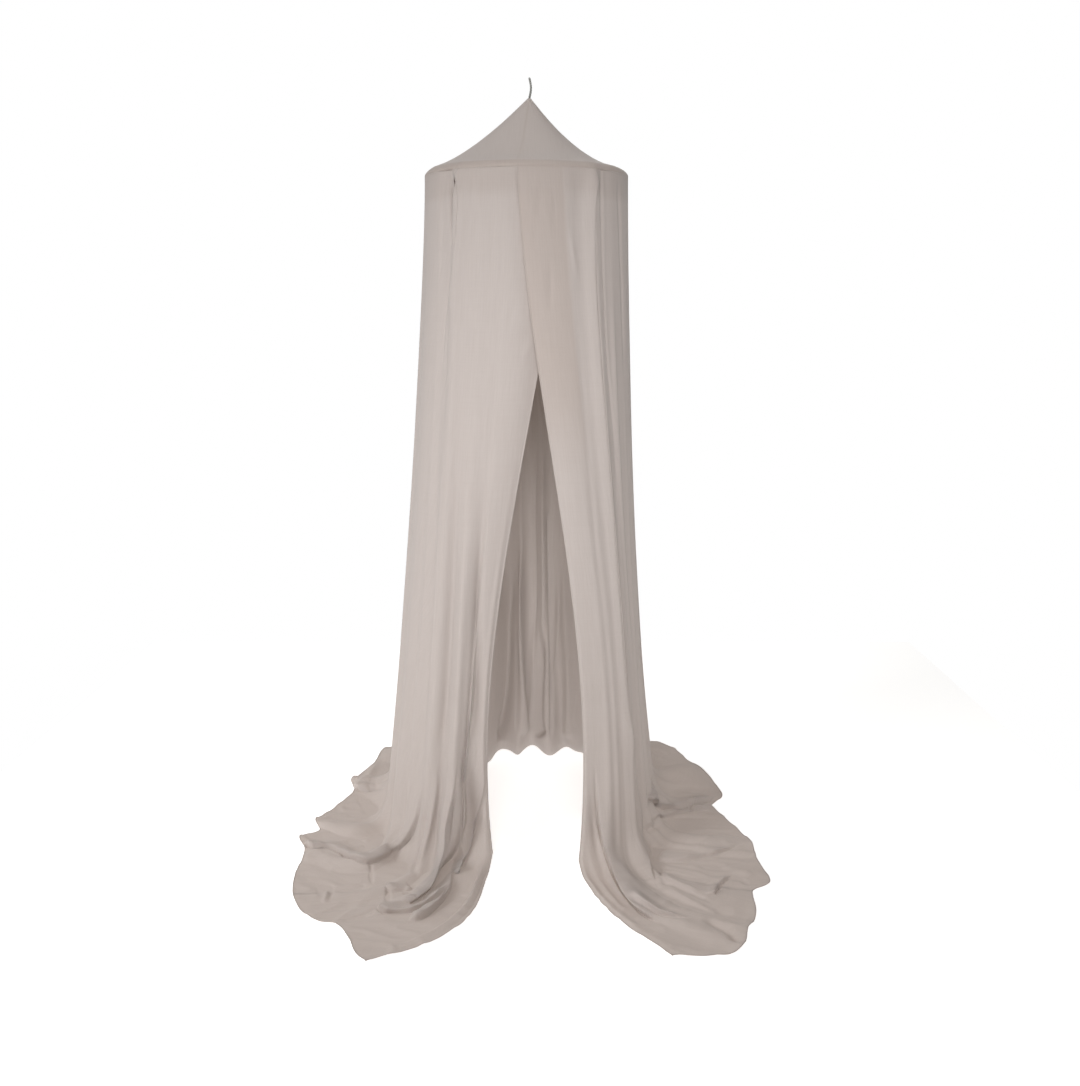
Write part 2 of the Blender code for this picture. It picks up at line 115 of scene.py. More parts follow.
# As in the solids, but for the three lines at each free edge
FALL_LINES = tuple(FallLine(*row) for row in (
    (-20, -0.078, -0.400, -0.118, -0.765, -0.318, -0.857, -0.062),   # left free edge
    (-10, -0.106, -0.412, -0.147, -0.735, -0.345, -0.826, -0.046),
    (0, -0.132, -0.420, -0.172, -0.700, -0.367, -0.768, -0.030),
    (12, -0.160, -0.425, -0.190, -0.665, -0.402, -0.714, -0.012),
    (24, -0.192, -0.420, -0.212, -0.640, -0.457, -0.694, 0.000),
    (34, -0.227, -0.415, -0.250, -0.600, -0.499, -0.638, 0.000),
    (42, -0.260, -0.395, -0.285, -0.570, -0.522, -0.580, 0.000),     # left side seam
    (52, -0.294, -0.360, -0.325, -0.550, -0.536, -0.480, 0.000),
    (62, -0.320, -0.310, -0.355, -0.530, -0.536, -0.370, 0.000),
    (70, -0.336, -0.270, -0.375, -0.470, -0.563, -0.291, 0.000),     # tip
    (77, -0.348, -0.225, -0.390, -0.380, -0.524, -0.248, 0.000),
    (85, -0.356, -0.185, -0.405, -0.290, -0.541, -0.203, 0.000),     # tip
    (97, -0.360, -0.100, -0.405, -0.150, -0.504, -0.096, 0.000),
    (107, -0.360, -0.030, -0.403, -0.040, -0.474, 0.000, 0.000),
    (116, -0.356, 0.040, -0.398, 0.050, -0.491, 0.058, 0.000),       # tip
    (130, -0.335, 0.120, -0.380, 0.160, -0.450, 0.190, 0.000),
    (142, -0.295, 0.180, -0.345, 0.250, -0.430, 0.310, 0.000),
    (148, -0.258, 0.200, -0.310, 0.290, -0.405, 0.330, 0.000),
    (155, -0.212, 0.195, -0.255, 0.340, -0.350, 0.400, 0.000),
    (168, -0.120, 0.188, -0.150, 0.400, -0.200, 0.560, 0.000),
    (180, 0.000, 0.205, 0.000, 0.430, 0.010, 0.610, 0.000),
    (192, 0.120, 0.212, 0.150, 0.400, 0.210, 0.550, 0.000),
    (205, 0.222, 0.215, 0.265, 0.340, 0.345, 0.400, 0.000),
    (212, 0.262, 0.195, 0.315, 0.290, 0.394, 0.352, -0.004),
    (219, 0.292, 0.165, 0.345, 0.245, 0.434, 0.316, -0.008),
    (230, 0.318, 0.110, 0.376, 0.180, 0.462, 0.235, -0.011),
    (242, 0.332, 0.040, 0.392, 0.060, 0.512, 0.062, -0.012),
    (250, 0.335, -0.010, 0.392, -0.010, 0.527, -0.028, -0.012),      # tip
    (259, 0.335, -0.060, 0.385, -0.080, 0.487, -0.100, -0.012),
    (268, 0.332, -0.120, 0.388, -0.160, 0.506, -0.165, -0.012),
    (280, 0.324, -0.190, 0.388, -0.250, 0.536, -0.250, -0.010),
    (290, 0.312, -0.250, 0.386, -0.330, 0.552, -0.335, -0.008),
    (300, 0.296, -0.305, 0.376, -0.400, 0.552, -0.415, -0.004),
    (308, 0.282, -0.350, 0.350, -0.460, 0.562, -0.520, 0.000),       # tip
    (317, 0.266, -0.385, 0.325, -0.530, 0.514, -0.568, 0.004),       # right side seam
    (326, 0.244, -0.405, 0.295, -0.600, 0.503, -0.668, 0.012),
    (338, 0.214, -0.422, 0.258, -0.645, 0.474, -0.740, 0.026),
    (348, 0.181, -0.438, 0.219, -0.650, 0.440, -0.830, 0.041),       # corner tip
    (356, 0.151, -0.450, 0.183, -0.650, 0.368, -0.848, 0.051),
    (364, 0.122, -0.450, 0.150, -0.650, 0.300, -0.850, 0.055),       # right free edge
))

# The main folds, as in the solids but for the flatter flaps
FOLDS = tuple(Fold(*row) for row in (
    (-14, 3.0, 0, 0, 3, 9, 16, 5),        # left front: ridge beside the free edge
    (-3, 5.0, 0, 0, -1, -4, -4, -2),      # flat up to a narrow trough
    (21, 6.5, 0, 4, 9, 18, 20, 3),        # front ridge
    (31, 3.5, 0, -2, -6, -8, -8, -2),
    (38, 3.5, 5, 7, 8, 10, 10, 3),        # ridge by the side seam
    (48, 5.0, -5, -6, -6, -8, -10, -6),
    (64, 5.0, 0, 2, 5, 14, 24, 9),        # swag over the train
    (76, 4.0, 0, -3, -5, -8, -12, -8),
    (85, 4.0, 0, 3, 5, 9, 18, 10),
    (99, 5.0, 0, -3, -6, -10, -10, -6),
    (115, 5.0, 0, 4, 8, 14, 20, 10),
    (129, 5.0, 0, -5, -10, -14, -12, -4),
    (142, 5.0, 0, 5, 10, 16, 18, 8),
    (154, 5.0, 0, -6, -12, -18, -12, -4),
    (166, 4.0, 0, -8, -18, -34, -12, -6),  # back wall: scalloped foot
    (173, 3.2, 0, 8, 16, 22, 14, 6),
    (181, 2.6, 0, 8, 18, 34, 16, 8),
    (186, 2.6, 0, -4, -8, -10, -8, -4),
    (190, 2.8, 0, 5, 12, 24, 12, 6),
    (200, 5.0, 0, -6, -10, -12, -10, -4),
    (213, 5.0, 0, 5, 9, 14, 16, 8),
    (226, 5.0, 0, -5, -9, -14, -10, -4),
    (238, 5.0, 0, 4, 8, 14, 26, 12),      # puffed lobe at the right
    (251, 4.5, 0, -3, -7, -10, -8, -6),
    (262, 5.0, 0, 3, 6, 10, 14, 6),
    (276, 5.0, 0, -3, -5, -10, -10, -6),
    (290, 5.5, 0, 3, 6, 12, 18, 8),
    (304, 4.0, 0, -2, -5, -12, -10, -6),
    (312, 4.0, -3, -6, -7, -10, -6, -4),
    (321, 4.0, 4, 6, 7, 8, 10, 4),        # ridge by the right side seam
    (331, 4.0, 0, 0, -2, -4, -8, -4),
    (346, 3.6, 0, 0, 3, 7, 10, 6),        # its swooping ridge is a crease
    (355, 3.5, 0, 0, -2, -4, -2, -2),
    (362, 2.4, 0, 0, 2, 4, 9, 3),
    # Finer folds, which only the thin cloth shows
    (-22, 6.0, 0, 1, 4, 5, 0, 0),         # left flap curls out at its free edge
    (10, 2.6, 0, -1, -5, -8, -4, -2),
    (323, 3.0, 2, 6, 9, 8, 4, 0, 10.0),   # right flap is flat up to its ridge
    (330, 9.0, 0, 0, 5, 14, 16, 4),
    (339, 4.0, 0, 0, 2, 4, 4, 2),
    (-17, 1.2, 0, 0, 0, 2, 2, 2),
    (-8, 1.8, 0, 0, 0, -2, -3, -2),
    (5, 1.6, 0, 0, 1, 3, 4, 2, 2.8),
    (12, 1.8, 0, 0, 0, -2, -4, -2),
    (27, 1.5, 0, 0, 0, 3, 4, 2),
    (44, 1.4, -2, -2, -2, 0, 0, 0),
    (56, 2.0, 0, -1, -3, -4, -4, -2),
    (70, 1.6, 0, 1, 2, 3, 5, 4),
    (92, 1.8, 0, 1, 2, 4, 5, 3),
    (107, 1.6, 0, 1, 3, 4, 4, 3),
    (122, 1.8, 0, -1, -3, -4, -3, -2),
    (136, 1.7, 0, 1, 3, 5, 4, 2),
    (148, 1.7, 0, 1, 3, 6, 5, 2),
    (160, 1.5, 0, 2, 5, 9, 5, 2),
    (169.5, 1.3, 0, -1, -3, -6, -4, -2),
    (177, 1.2, 0, -3, -6, -9, -5, -3),
    (195, 1.6, 0, 2, 4, 5, 4, 2),
    (206, 1.8, 0, -1, -3, -4, -3, -2),
    (220, 1.7, 0, 1, 3, 4, 4, 3),
    (232, 1.8, 0, -1, -3, -4, -3, -2),
    (245, 1.6, 0, 1, 2, 4, 5, 4),
    (257, 1.5, 0, -1, -2, -3, -4, -3),
    (269, 1.8, 0, 1, 3, 4, 4, 3),
    (283, 1.8, 0, -1, -2, -3, -4, -3),
    (297, 1.6, 0, 1, 2, 4, 5, 4),
    (315.5, 1.4, -3, -3, -2, -1, 0, 0),
    (336, 1.8, 0, 0, 0, -1, -2, -2),
    (351, 2.4, 0, 0, 0, -1, -2, -2),
))
CHEST_SHARE = 0.35           # of the way from hoop to foot
KNEE_SHARE = 0.70
FLOOR_REACH = 0.13           # past the foot


class CreaseKind(Enum):
    """How a crease stands on the cloth beside its path."""

    RIDGE = "soft ridge"
    TROUGH = "soft trough"
    LIP = "rolled fold, soft to the left of its path and steep to the right"


@dataclass(frozen=True)
class Crease:
    """One crease, on a given path through the photograph's frame, in its pixels."""

    kind: CreaseKind
    height_mm: float
    width_mm: float
    path: tuple[tuple[float, float], ...]
    start: float = 0.2       # share of the path over which it rises
    end: float = 0.35        # share over which it dies away


RIDGE, TROUGH, LIP = CreaseKind.RIDGE, CreaseKind.TROUGH, CreaseKind.LIP
CREASES = tuple(Crease(*row) for row in (
    # Left panel: the pleat over its seam, then the long ridges
    (LIP, 9, 24, ((457, 172), (457, 200), (456, 222), (452, 262), (448, 300), (444, 345)), 0.02, 0.6),
    (TROUGH, 19, 3.2, ((457, 176), (457, 200), (456, 222), (452, 262)), 0.1, 0.4),
    (TROUGH, 3, 4, ((452, 262), (448, 300), (444, 345), (441, 400)), 0.3, 0.5),
    (TROUGH, 2, 5, ((442, 182), (443, 220), (442, 262), (440, 310)), 0.1, 0.5),
    (RIDGE, 4, 10, ((447, 330), (442, 450), (436, 560), (431, 650), (427, 720)), 0.4, 0.2),
    (TROUGH, 5, 12, ((460, 400), (455, 520), (450, 650), (446, 712), (440, 752)), 0.4, 0.2),
    (RIDGE, 8, 13, ((454, 770), (457, 700), (461, 600), (468, 500), (472, 400)), 0.1, 0.7),
    (TROUGH, 16, 11, ((469, 756), (475, 700), (477, 640), (478, 590), (482, 500), (485, 430)), 0.1,
        0.7),
    # Right panel: its right edge, then faint streaks
    (LIP, 9, 26, ((634, 772), (627, 690), (613, 497), (602, 370), (597, 300), (596, 230), (597, 172)),
        0.08, 0.02),
    (TROUGH, 6, 3.6, ((601, 178), (600, 240), (601, 300), (606, 370), (613, 430), (618, 520)), 0.05,
        0.5),
    (TROUGH, 4, 7, ((618, 185), (619, 240), (622, 320), (625, 420)), 0.05, 0.4),
    (RIDGE, 4, 8, ((612, 260), (617, 400), (626, 560), (634, 680)), 0.3, 0.3),
    (TROUGH, 2, 9, ((571, 250), (582, 380), (592, 500), (601, 620)), 0.4, 0.4),
    # Back wall, seen through the opening
    (TROUGH, 26, 14, ((514, 560), (507, 620), (503, 680), (500, 742)), 0.3, 0.05),
    (LIP, 11, 22, ((519, 540), (516, 600), (515, 647), (517, 700), (520, 738)), 0.2, 0.08),
    (TROUGH, 8, 4.6, ((537, 440), (536, 517), (538, 604), (533, 647), (530, 691), (526, 736)), 0.1,
        0.08),
    (TROUGH, 9, 4.6, ((550, 440), (547, 517), (548, 593), (549, 647), (550, 690), (550, 740)), 0.1,
        0.05),
    (TROUGH, 26, 19, ((541, 620), (542, 660), (542, 700), (541, 738)), 0.4, 0.05),
    (RIDGE, 14, 13, ((523, 520), (523, 600), (524, 660), (525, 738)), 0.3, 0.05),
    (RIDGE, 13, 15, ((562, 540), (565, 620), (567, 680), (568, 740)), 0.3, 0.05),
    (TROUGH, 7, 4.6, ((562, 570), (560, 600), (557, 647), (553, 680)), 0.3, 0.2),
    (RIDGE, 8, 7, ((543, 440), (542, 520), (543, 600), (541, 650)), 0.2, 0.3),
    (RIDGE, 7, 8, ((556, 520), (555, 580), (553, 640)), 0.3, 0.3),
    # Crinkles under the hoop where the flaps overlap
    (RIDGE, 1.4, 6, ((526, 176), (531, 196), (534, 218))),
    (TROUGH, 1.2, 5, ((537, 186), (539, 200), (538, 214))),
    (RIDGE, 1.2, 7, ((543, 200), (547, 212), (553, 232))),
    (TROUGH, 1.0, 5, ((552, 190), (555, 206), (553, 219))),
    (TROUGH, 1.1, 5, ((529, 222), (534, 232), (536, 244))),
    (RIDGE, 1.8, 7, ((514, 178), (519, 196), (524, 212))),
    (TROUGH, 2.0, 7, ((549, 262), (551, 290), (548, 316))),
    (RIDGE, 1.8, 7, ((571, 232), (574, 256), (578, 280))),
    (TROUGH, 1.4, 7, ((508, 328), (513, 311), (519, 298))),
    (RIDGE, 2.0, 8, ((522, 358), (529, 349), (534, 340))),
    # Left train: three tiers that lie over each other, from the back to the front
    (LIP, 19, 40, ((353, 784), (364, 787), (378, 785), (392, 784)), 0.1, 0.8),
    (RIDGE, 5, 12, ((378, 760), (370, 772), (362, 780)), 0.3, 0.2),
    (TROUGH, 3, 8, ((357, 797), (366, 809), (374, 815))),
    (LIP, 21, 44, ((318, 826), (337, 830), (353, 832), (373, 836), (387, 834), (398, 825), (407, 808),
        (415, 789), (420, 762)), 0.05, 0.35),
    (LIP, 15, 28, ((304, 842), (318, 842), (332, 844), (347, 851), (362, 855), (378, 856), (392, 850),
        (404, 839), (413, 823), (420, 798), (423, 773)), 0.05, 0.35),
    (TROUGH, 7, 9, ((345, 842), (362, 846), (380, 848), (395, 840), (405, 824)), 0.2, 0.2),
    (TROUGH, 4, 5, ((371, 862), (371, 873), (372, 886)), 0.05, 0.3),
    (LIP, 8, 16, ((387, 885), (398, 888), (412, 889)), 0.1, 0.1),
    (TROUGH, 8, 5, ((388, 888), (388, 896), (388, 903)), 0.2, 0.2),
    (TROUGH, 10, 6, ((401, 892), (407, 896), (412, 902)), 0.2, 0.2),
    (LIP, 13, 20, ((378, 906), (390, 909), (404, 909), (420, 905), (436, 898), (449, 886)), 0.05, 0.2),
    # Left train: the sweeping ridges and the dark valley between them
    (LIP, 18, 28, ((408, 905), (420, 893), (432, 880), (443, 856), (449, 831), (454, 800), (457, 760)),
        0.1, 0.3),
    (TROUGH, 48, 17, ((465, 740), (464, 780), (461, 812), (456, 838), (449, 860), (440, 880),
        (431, 896)), 0.35, 0.1),
    (LIP, 20, 20, ((408, 920), (426, 909), (444, 894), (458, 877), (470, 856), (479, 832), (484, 795),
        (487, 750)), 0.1, 0.35),
    (TROUGH, 8, 10, ((476, 872), (468, 886), (455, 898), (436, 910)), 0.2, 0.3),
    (RIDGE, 9, 9, ((437, 760), (435, 800), (428, 836), (418, 866)), 0.4, 0.3),
    (TROUGH, 8, 8, ((428, 800), (424, 830), (417, 855), (414, 880)), 0.3, 0.2),
    (TROUGH, 5, 6, ((345, 923), (357, 919), (370, 913), (378, 908)), 0.2, 0.3),
    (TROUGH, 5, 8, ((318, 896), (324, 889), (333, 890)), 0.3, 0.3),
    (TROUGH, 3, 6, ((327, 902), (331, 896), (331, 888)), 0.3, 0.3),
    (RIDGE, 4, 7, ((322, 903), (326, 897), (327, 890)), 0.3, 0.3),
    (TROUGH, 5, 6, ((356, 891), (361, 888), (366, 886))),
    # Right train: the lobe at the back and the fold in front of it
    (TROUGH, 20, 10, ((655, 776), (656, 769), (662, 763), (672, 757), (684, 753)), 0.15, 0.4),
    (LIP, 18, 40, ((650, 795), (659, 801), (670, 804), (681, 803), (692, 799), (704, 797), (714, 797)),
        0.08, 0.12),
    (LIP, 10, 15, ((649, 819), (663, 815), (676, 811), (688, 806), (701, 806), (712, 811)), 0.15, 0.2),
    (TROUGH, 9, 5, ((686, 806), (689, 810), (693, 812)), 0.2, 0.3),
    (TROUGH, 10, 8, ((646, 831), (653, 827), (662, 823)), 0.15, 0.5),
    # Right train: the long overlap and the wrinkles that run out below it
    (LIP, 10, 50, ((652, 857), (672, 859), (689, 857), (713, 851), (730, 846), (747, 841)), 0.05, 0.4),
    (RIDGE, 3, 8, ((657, 865), (683, 869), (704, 874), (725, 883)), 0.1, 0.5),
    (TROUGH, 3, 6, ((656, 869), (678, 875), (698, 882), (716, 886)), 0.1, 0.5),
    (RIDGE, 3, 8, ((658, 873), (679, 881), (698, 889), (715, 893)), 0.1, 0.5),
    (TROUGH, 4, 7, ((660, 880), (683, 890), (700, 898), (718, 905)), 0.1, 0.5),
    (RIDGE, 4, 9, ((664, 886), (690, 899), (708, 909), (726, 918)), 0.2, 0.4),
    (RIDGE, 4, 12, ((720, 866), (738, 869), (757, 876))),
    (LIP, 8, 12, ((713, 894), (716, 886), (724, 878), (734, 874)), 0.1, 0.4),
    (TROUGH, 5, 6, ((733, 880), (742, 882), (750, 886))),
    (TROUGH, 9, 13, ((701, 918), (715, 926), (728, 934), (740, 943)), 0.3, 0.1),
    # Right train: the column's edges and the sweeping ridges at its foot
    (LIP, 13, 26, ((655, 884), (651, 865), (646, 838), (640, 797), (635, 755)), 0.35, 0.4),
    (TROUGH, 10, 9, ((651, 838), (654, 858), (660, 876), (670, 888)), 0.2, 0.4),
    (LIP, 28, 34, ((596, 760), (599, 810), (601, 845), (607, 869), (618, 889), (632, 903), (647, 914),
        (662, 922)), 0.35, 0.35),
    (RIDGE, 7, 11, ((599, 790), (605, 832), (614, 861), (628, 879), (646, 894), (666, 905), (690, 914)),
        0.4, 0.5),
    (LIP, 8, 10, ((637, 897), (650, 905), (664, 911), (690, 917)), 0.2, 0.3),
    (TROUGH, 6, 9, ((591, 790), (594, 830), (601, 866), (612, 890)), 0.3, 0.3),
    (RIDGE, 5, 8, ((588, 840), (596, 872), (612, 898), (632, 914)), 0.3, 0.3),
))


def smooth_step(value: np.ndarray) -> np.ndarray:
    """Blend softly from 0 at 0 to 1 at 1.

    Args:
        value: Numbers on either side of that range.

    Returns:
        The blended numbers.
    """
    clipped = np.clip(value, 0.0, 1.0)
    return clipped * clipped * (3.0 - 2.0 * clipped)


def soft_ramp(value: np.ndarray, half_width: np.ndarray | float) -> np.ndarray:
    """Return the larger of value and 0, with the corner rounded.

    Args:
        value: Numbers along a path, 0 at its corner.
        half_width: Length of the rounding on each side of the corner.

    Returns:
        The rounded ramp.
    """
    inside = np.clip(value + half_width, 0.0, 2.0 * half_width)
    return inside * inside / (4.0 * half_width) + np.maximum(value - half_width, 0.0)


def smooth_line(values: np.ndarray, passes: int) -> np.ndarray:
    """Return the values along a line, averaged with their neighbours a few times."""
    line = values.copy()
    for _ in range(passes):
        line[1:-1] = (line[:-2] + 2 * line[1:-1] + line[2:]) / 4
    return line


def unit(vectors: np.ndarray) -> np.ndarray:
    """Return the vectors at length 1, along the last axis."""
    length = np.linalg.norm(vectors, axis=-1, keepdims=True)
    return vectors / np.maximum(length, 1e-12)


def running_length(points: np.ndarray, axis: int = 0) -> np.ndarray:
    """Return the length run along one axis of a grid of points, from 0 at its start."""
    steps = np.linalg.norm(np.diff(points, axis=axis), axis=-1)
    start = np.zeros_like(np.take(steps, [0], axis))
    return np.concatenate([start, np.cumsum(steps, axis=axis)], axis=axis)


def linear_colour(hex_code: str) -> tuple[float, float, float, float]:
    """Turn an sRGB hex colour into a linear one.

    Args:
        hex_code: Six hex digits, such as "b4a79d".

    Returns:
        Linear red, green, blue and an alpha of 1.
    """
    channels = []
    for start in (0, 2, 4):
        value = int(hex_code[start:start + 2], 16) / 255.0
        channels.append(value / 12.92 if value <= 0.04045 else ((value + 0.055) / 1.055) ** 2.4)
    return channels[0], channels[1], channels[2], 1.0


def floor_origin() -> np.ndarray:
    """Return the model's point on the floor under the hoop's centre."""
    hoop_low, hoop_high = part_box("hoop")
    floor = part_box("left_front_panel")[0].z
    return np.array([(hoop_low.x + hoop_high.x) / 2, (hoop_low.y + hoop_high.y) / 2, floor])


def deselect_all() -> None:
    """Leave edit mode and select nothing."""
    if bpy.context.object and bpy.context.object.mode != "OBJECT":
        bpy.ops.object.mode_set(mode="OBJECT")
    bpy.ops.object.select_all(action="DESELECT")


def apply_all(piece: bpy.types.Object) -> None:
    """Apply a piece's modifiers, and its place, to its mesh."""
    deselect_all()
    bpy.context.view_layer.objects.active = piece
    piece.select_set(True)
    for modifier in list(piece.modifiers):
        bpy.ops.object.modifier_apply(modifier=modifier.name)
    bpy.ops.object.transform_apply(location=True, rotation=True, scale=True)
    deselect_all()


def dress(piece: bpy.types.Object, material: bpy.types.Material, slot: str, *nodes: str) -> None:
    """Give a piece its material, hang it on the body and let it stand for its solids.

    Args:
        piece: The finished mesh object.
        material: Its finish.
        slot: The record's material slot; not used.
        nodes: The solids that it replaces.
    """
    piece.data.materials.clear()
    piece.data.materials.append(material)
    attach(piece, BODY)
    if nodes:
        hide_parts(*nodes)
    LOG.info("%s: %d faces", piece.name, len(piece.data.polygons))


class NodeTree:
    """The node tree of a material or a world, with one way to add a node."""

    def __init__(self, owner: bpy.types.Material | bpy.types.World) -> None:
        """Empty the owner's tree."""
        owner.use_nodes = True
        self.owner, self.tree = owner, owner.node_tree
        self.tree.nodes.clear()

    def add(self, kind: str, settings: dict | None = None, inputs: dict | None = None) -> bpy.types.Node:
        """Add a node.

        Args:
            kind: The node's Blender type.
            settings: Its properties by name.
            inputs: Its sockets by name or index, each with a value or the socket that feeds it.

        Returns:
            The node.
        """
        node = self.tree.nodes.new(kind)
        for name, value in (settings or {}).items():
            setattr(node, name, value)
        for name, value in (inputs or {}).items():
            if isinstance(value, bpy.types.NodeSocket):
                self.tree.links.new(value, node.inputs[name])
            else:
                node.inputs[name].default_value = value
        return node

    def finish(self, shader: bpy.types.Node, output: str = "ShaderNodeOutputMaterial") -> bpy.types.ID:
        """Join the shader to the output and return the owner."""
        self.add(output, inputs={"Surface": shader.outputs[0]})
        return self.owner


@dataclass(frozen=True)
class Muslin:
    """Cotton muslin, plain woven and washed: matte, faintly fuzzy, crinkled, with thread slubs."""

    name: str = "washed cotton muslin, plain weave"
    colour: str = "bab2ae"
    dark_thread: str = "aca39e"
    two_layer_painted_shade: str = "eee9e5"          # painted shade on two-layer cloth, which lets less light through
    through: str = "d2c3b8"          # light that comes through the cloth is warmer
    see_through: float = 0.22
    thread_mm: float = 1.1           # real threads lie 0.5 mm apart, too fine to show here
    slub_mm: float = 2.6             # thickness of a slub
    slub_run_mm: float = 90.0        # its length
    warp_slubs: float = 0.40         # darkest share of dark thread down the cloth
    weft_slubs: float = 0.18         # and across it
    crinkle_mm: float = 9.0
    facing_mm: float = 57.0          # doubled band under the hoop
    hem_mm: float = 2.8
    hem_lift_mm: float = 0.7
    hem_gap_mm: float = 1.1          # between the layers of a hem

    def build(self) -> bpy.types.Material:
        """Return the material. It reads the cloth's own map, in metres of cloth."""
        net = NodeTree(bpy.data.materials.new(self.name))
        cloth = net.add("ShaderNodeUVMap", {"uv_map": "cloth"}).outputs[0]
        crinkle = self.crinkle(net)
        warp = self.threads(net, cloth, "X")
        weft = self.threads(net, cloth, "Y")
        weave = net.add("ShaderNodeMath", {"operation": "ADD"}, {0: warp, 1: weft}).outputs[0]
        slubs = self.slubs(net, cloth)
        # Painted shade where the cloth lies in two layers: it darkens the base colour
        two_layer_painted_shade = net.add("ShaderNodeAttribute", {"attribute_name": "two_layer_painted_shade"}).outputs["Fac"]
        base = net.add("ShaderNodeMix", {"data_type": "RGBA"},
                       {6: linear_colour(self.colour), 7: linear_colour(self.dark_thread), 0: slubs})
        toned = net.add("ShaderNodeMix", {"data_type": "RGBA", "blend_type": "MULTIPLY"},
                        {6: base.outputs[2], 7: linear_colour(self.two_layer_painted_shade), 0: two_layer_painted_shade})
        crinkled = net.add("ShaderNodeBump", inputs={
            "Height": crinkle, "Distance": 0.6 * MILLIMETRE, "Strength": 0.55}).outputs[0]
        woven = net.add("ShaderNodeBump", inputs={
            "Height": weave, "Distance": 0.12 * MILLIMETRE, "Strength": 0.3, "Normal": crinkled}).outputs[0]
        shader = net.add("ShaderNodeBsdfPrincipled", inputs={
            "Base Color": toned.outputs[2], "Roughness": 0.93, "Specular IOR Level": 0.25,
            "Sheen Weight": 0.18, "Sheen Roughness": 0.5, "Normal": woven})
        glow = net.add("ShaderNodeBsdfTranslucent", inputs={
            "Color": linear_colour(self.through), "Normal": crinkled})
        cloth_shader = net.add("ShaderNodeMixShader", inputs={
            0: self.see_through, 1: shader.outputs[0], 2: glow.outputs[0]})
        return net.finish(cloth_shader)

    def threads(self, net: NodeTree, cloth: bpy.types.NodeSocket, axis: str) -> bpy.types.NodeSocket:
        """Return one set of parallel threads as a height."""
        turns_per_metre = 1.0 / (self.thread_mm * MILLIMETRE)
        wave_scale = turns_per_metre * math.tau / WAVE_RADIANS
        return net.add("ShaderNodeTexWave", {"bands_direction": axis}, {
            "Vector": cloth, "Scale": wave_scale, "Distortion": 0.6, "Detail": 1.0}).outputs["Fac"]

    def slubs(self, net: NodeTree, cloth: bpy.types.NodeSocket) -> bpy.types.NodeSocket:
        """Return the uneven thick threads of both directions, as a share of dark thread."""
        across, along = 1.0 / (self.slub_mm * MILLIMETRE), 1.0 / (self.slub_run_mm * MILLIMETRE)
        found = []
        for stretch, most in (((across, along, 1.0), self.warp_slubs),
                              ((along, across, 1.0), self.weft_slubs)):
            place = net.add("ShaderNodeMapping", inputs={"Vector": cloth, "Scale": stretch})
            noise = net.add("ShaderNodeTexNoise", inputs={
                "Vector": place.outputs[0], "Scale": 1.0, "Detail": 3.0, "Roughness": 0.6})
            ramp = net.add("ShaderNodeMapRange", inputs={
                "Value": noise.outputs[0], 1: 0.38, 2: 0.72, 3: 0.0, 4: most})
            found.append(ramp.outputs[0])
        return net.add("ShaderNodeMath", {"operation": "ADD"}, {0: found[0], 1: found[1]}).outputs[0]

    def crinkle(self, net: NodeTree) -> bpy.types.NodeSocket:
        """Return the soft crinkle of washed gauze as a height."""
        place = net.add("ShaderNodeTexCoord").outputs["Object"]
        stretched = net.add("ShaderNodeMapping", inputs={"Vector": place, "Scale": (1.0, 1.0, 0.35)})
        return net.add("ShaderNodeTexNoise", inputs={
            "Vector": stretched.outputs[0], "Scale": 1.0 / (self.crinkle_mm * MILLIMETRE),
            "Detail": 4.0, "Roughness": 0.55, "Distortion": 0.4}).outputs[0]


MUSLIN = Muslin()


@dataclass(frozen=True)
class TwistedCord:
    """Grey cotton cord of two twisted plies: matte, with fine fibres along each ply."""

    name: str = "twisted cotton cord"
    colour: str = "9a9a96"
    shadow: str = "7d7d79"
    fibre_mm: float = 0.5

    def build(self) -> bpy.types.Material:
        """Return the material."""
        net = NodeTree(bpy.data.materials.new(self.name))
        place = net.add("ShaderNodeTexCoord").outputs["Object"]
        fibres = net.add("ShaderNodeTexNoise", inputs={
            "Vector": place, "Scale": 1.0 / (self.fibre_mm * MILLIMETRE), "Detail": 3.0}).outputs[0]
        colour = net.add("ShaderNodeMix", {"data_type": "RGBA"}, {
            6: linear_colour(self.colour), 7: linear_colour(self.shadow), 0: fibres})
        bump = net.add("ShaderNodeBump", inputs={
            "Height": fibres, "Distance": 0.15 * MILLIMETRE, "Strength": 0.5}).outputs[0]
        shader = net.add("ShaderNodeBsdfPrincipled", inputs={
            "Base Color": colour.outputs[2], "Roughness": 0.9, "Sheen Weight": 0.15, "Normal": bump})
        return net.finish(shader)


@dataclass(frozen=True)
class CoatedRod:
    """Steel hoop with a pale powder coat: satin, with a faint orange-peel surface."""

    name: str = "powder-coated steel hoop"
    colour: str = "cbc9c6"
    peel_mm: float = 1.5

    def build(self) -> bpy.types.Material:
        """Return the material."""
        net = NodeTree(bpy.data.materials.new(self.name))
        place = net.add("ShaderNodeTexCoord").outputs["Object"]
        peel = net.add("ShaderNodeTexNoise", inputs={
            "Vector": place, "Scale": 1.0 / (self.peel_mm * MILLIMETRE), "Detail": 2.0}).outputs[0]
        bump = net.add("ShaderNodeBump", inputs={
            "Height": peel, "Distance": 0.05 * MILLIMETRE, "Strength": 0.3}).outputs[0]
        shader = net.add("ShaderNodeBsdfPrincipled", inputs={
            "Base Color": linear_colour(self.colour), "Roughness": 0.45, "Normal": bump})
        return net.finish(shader)


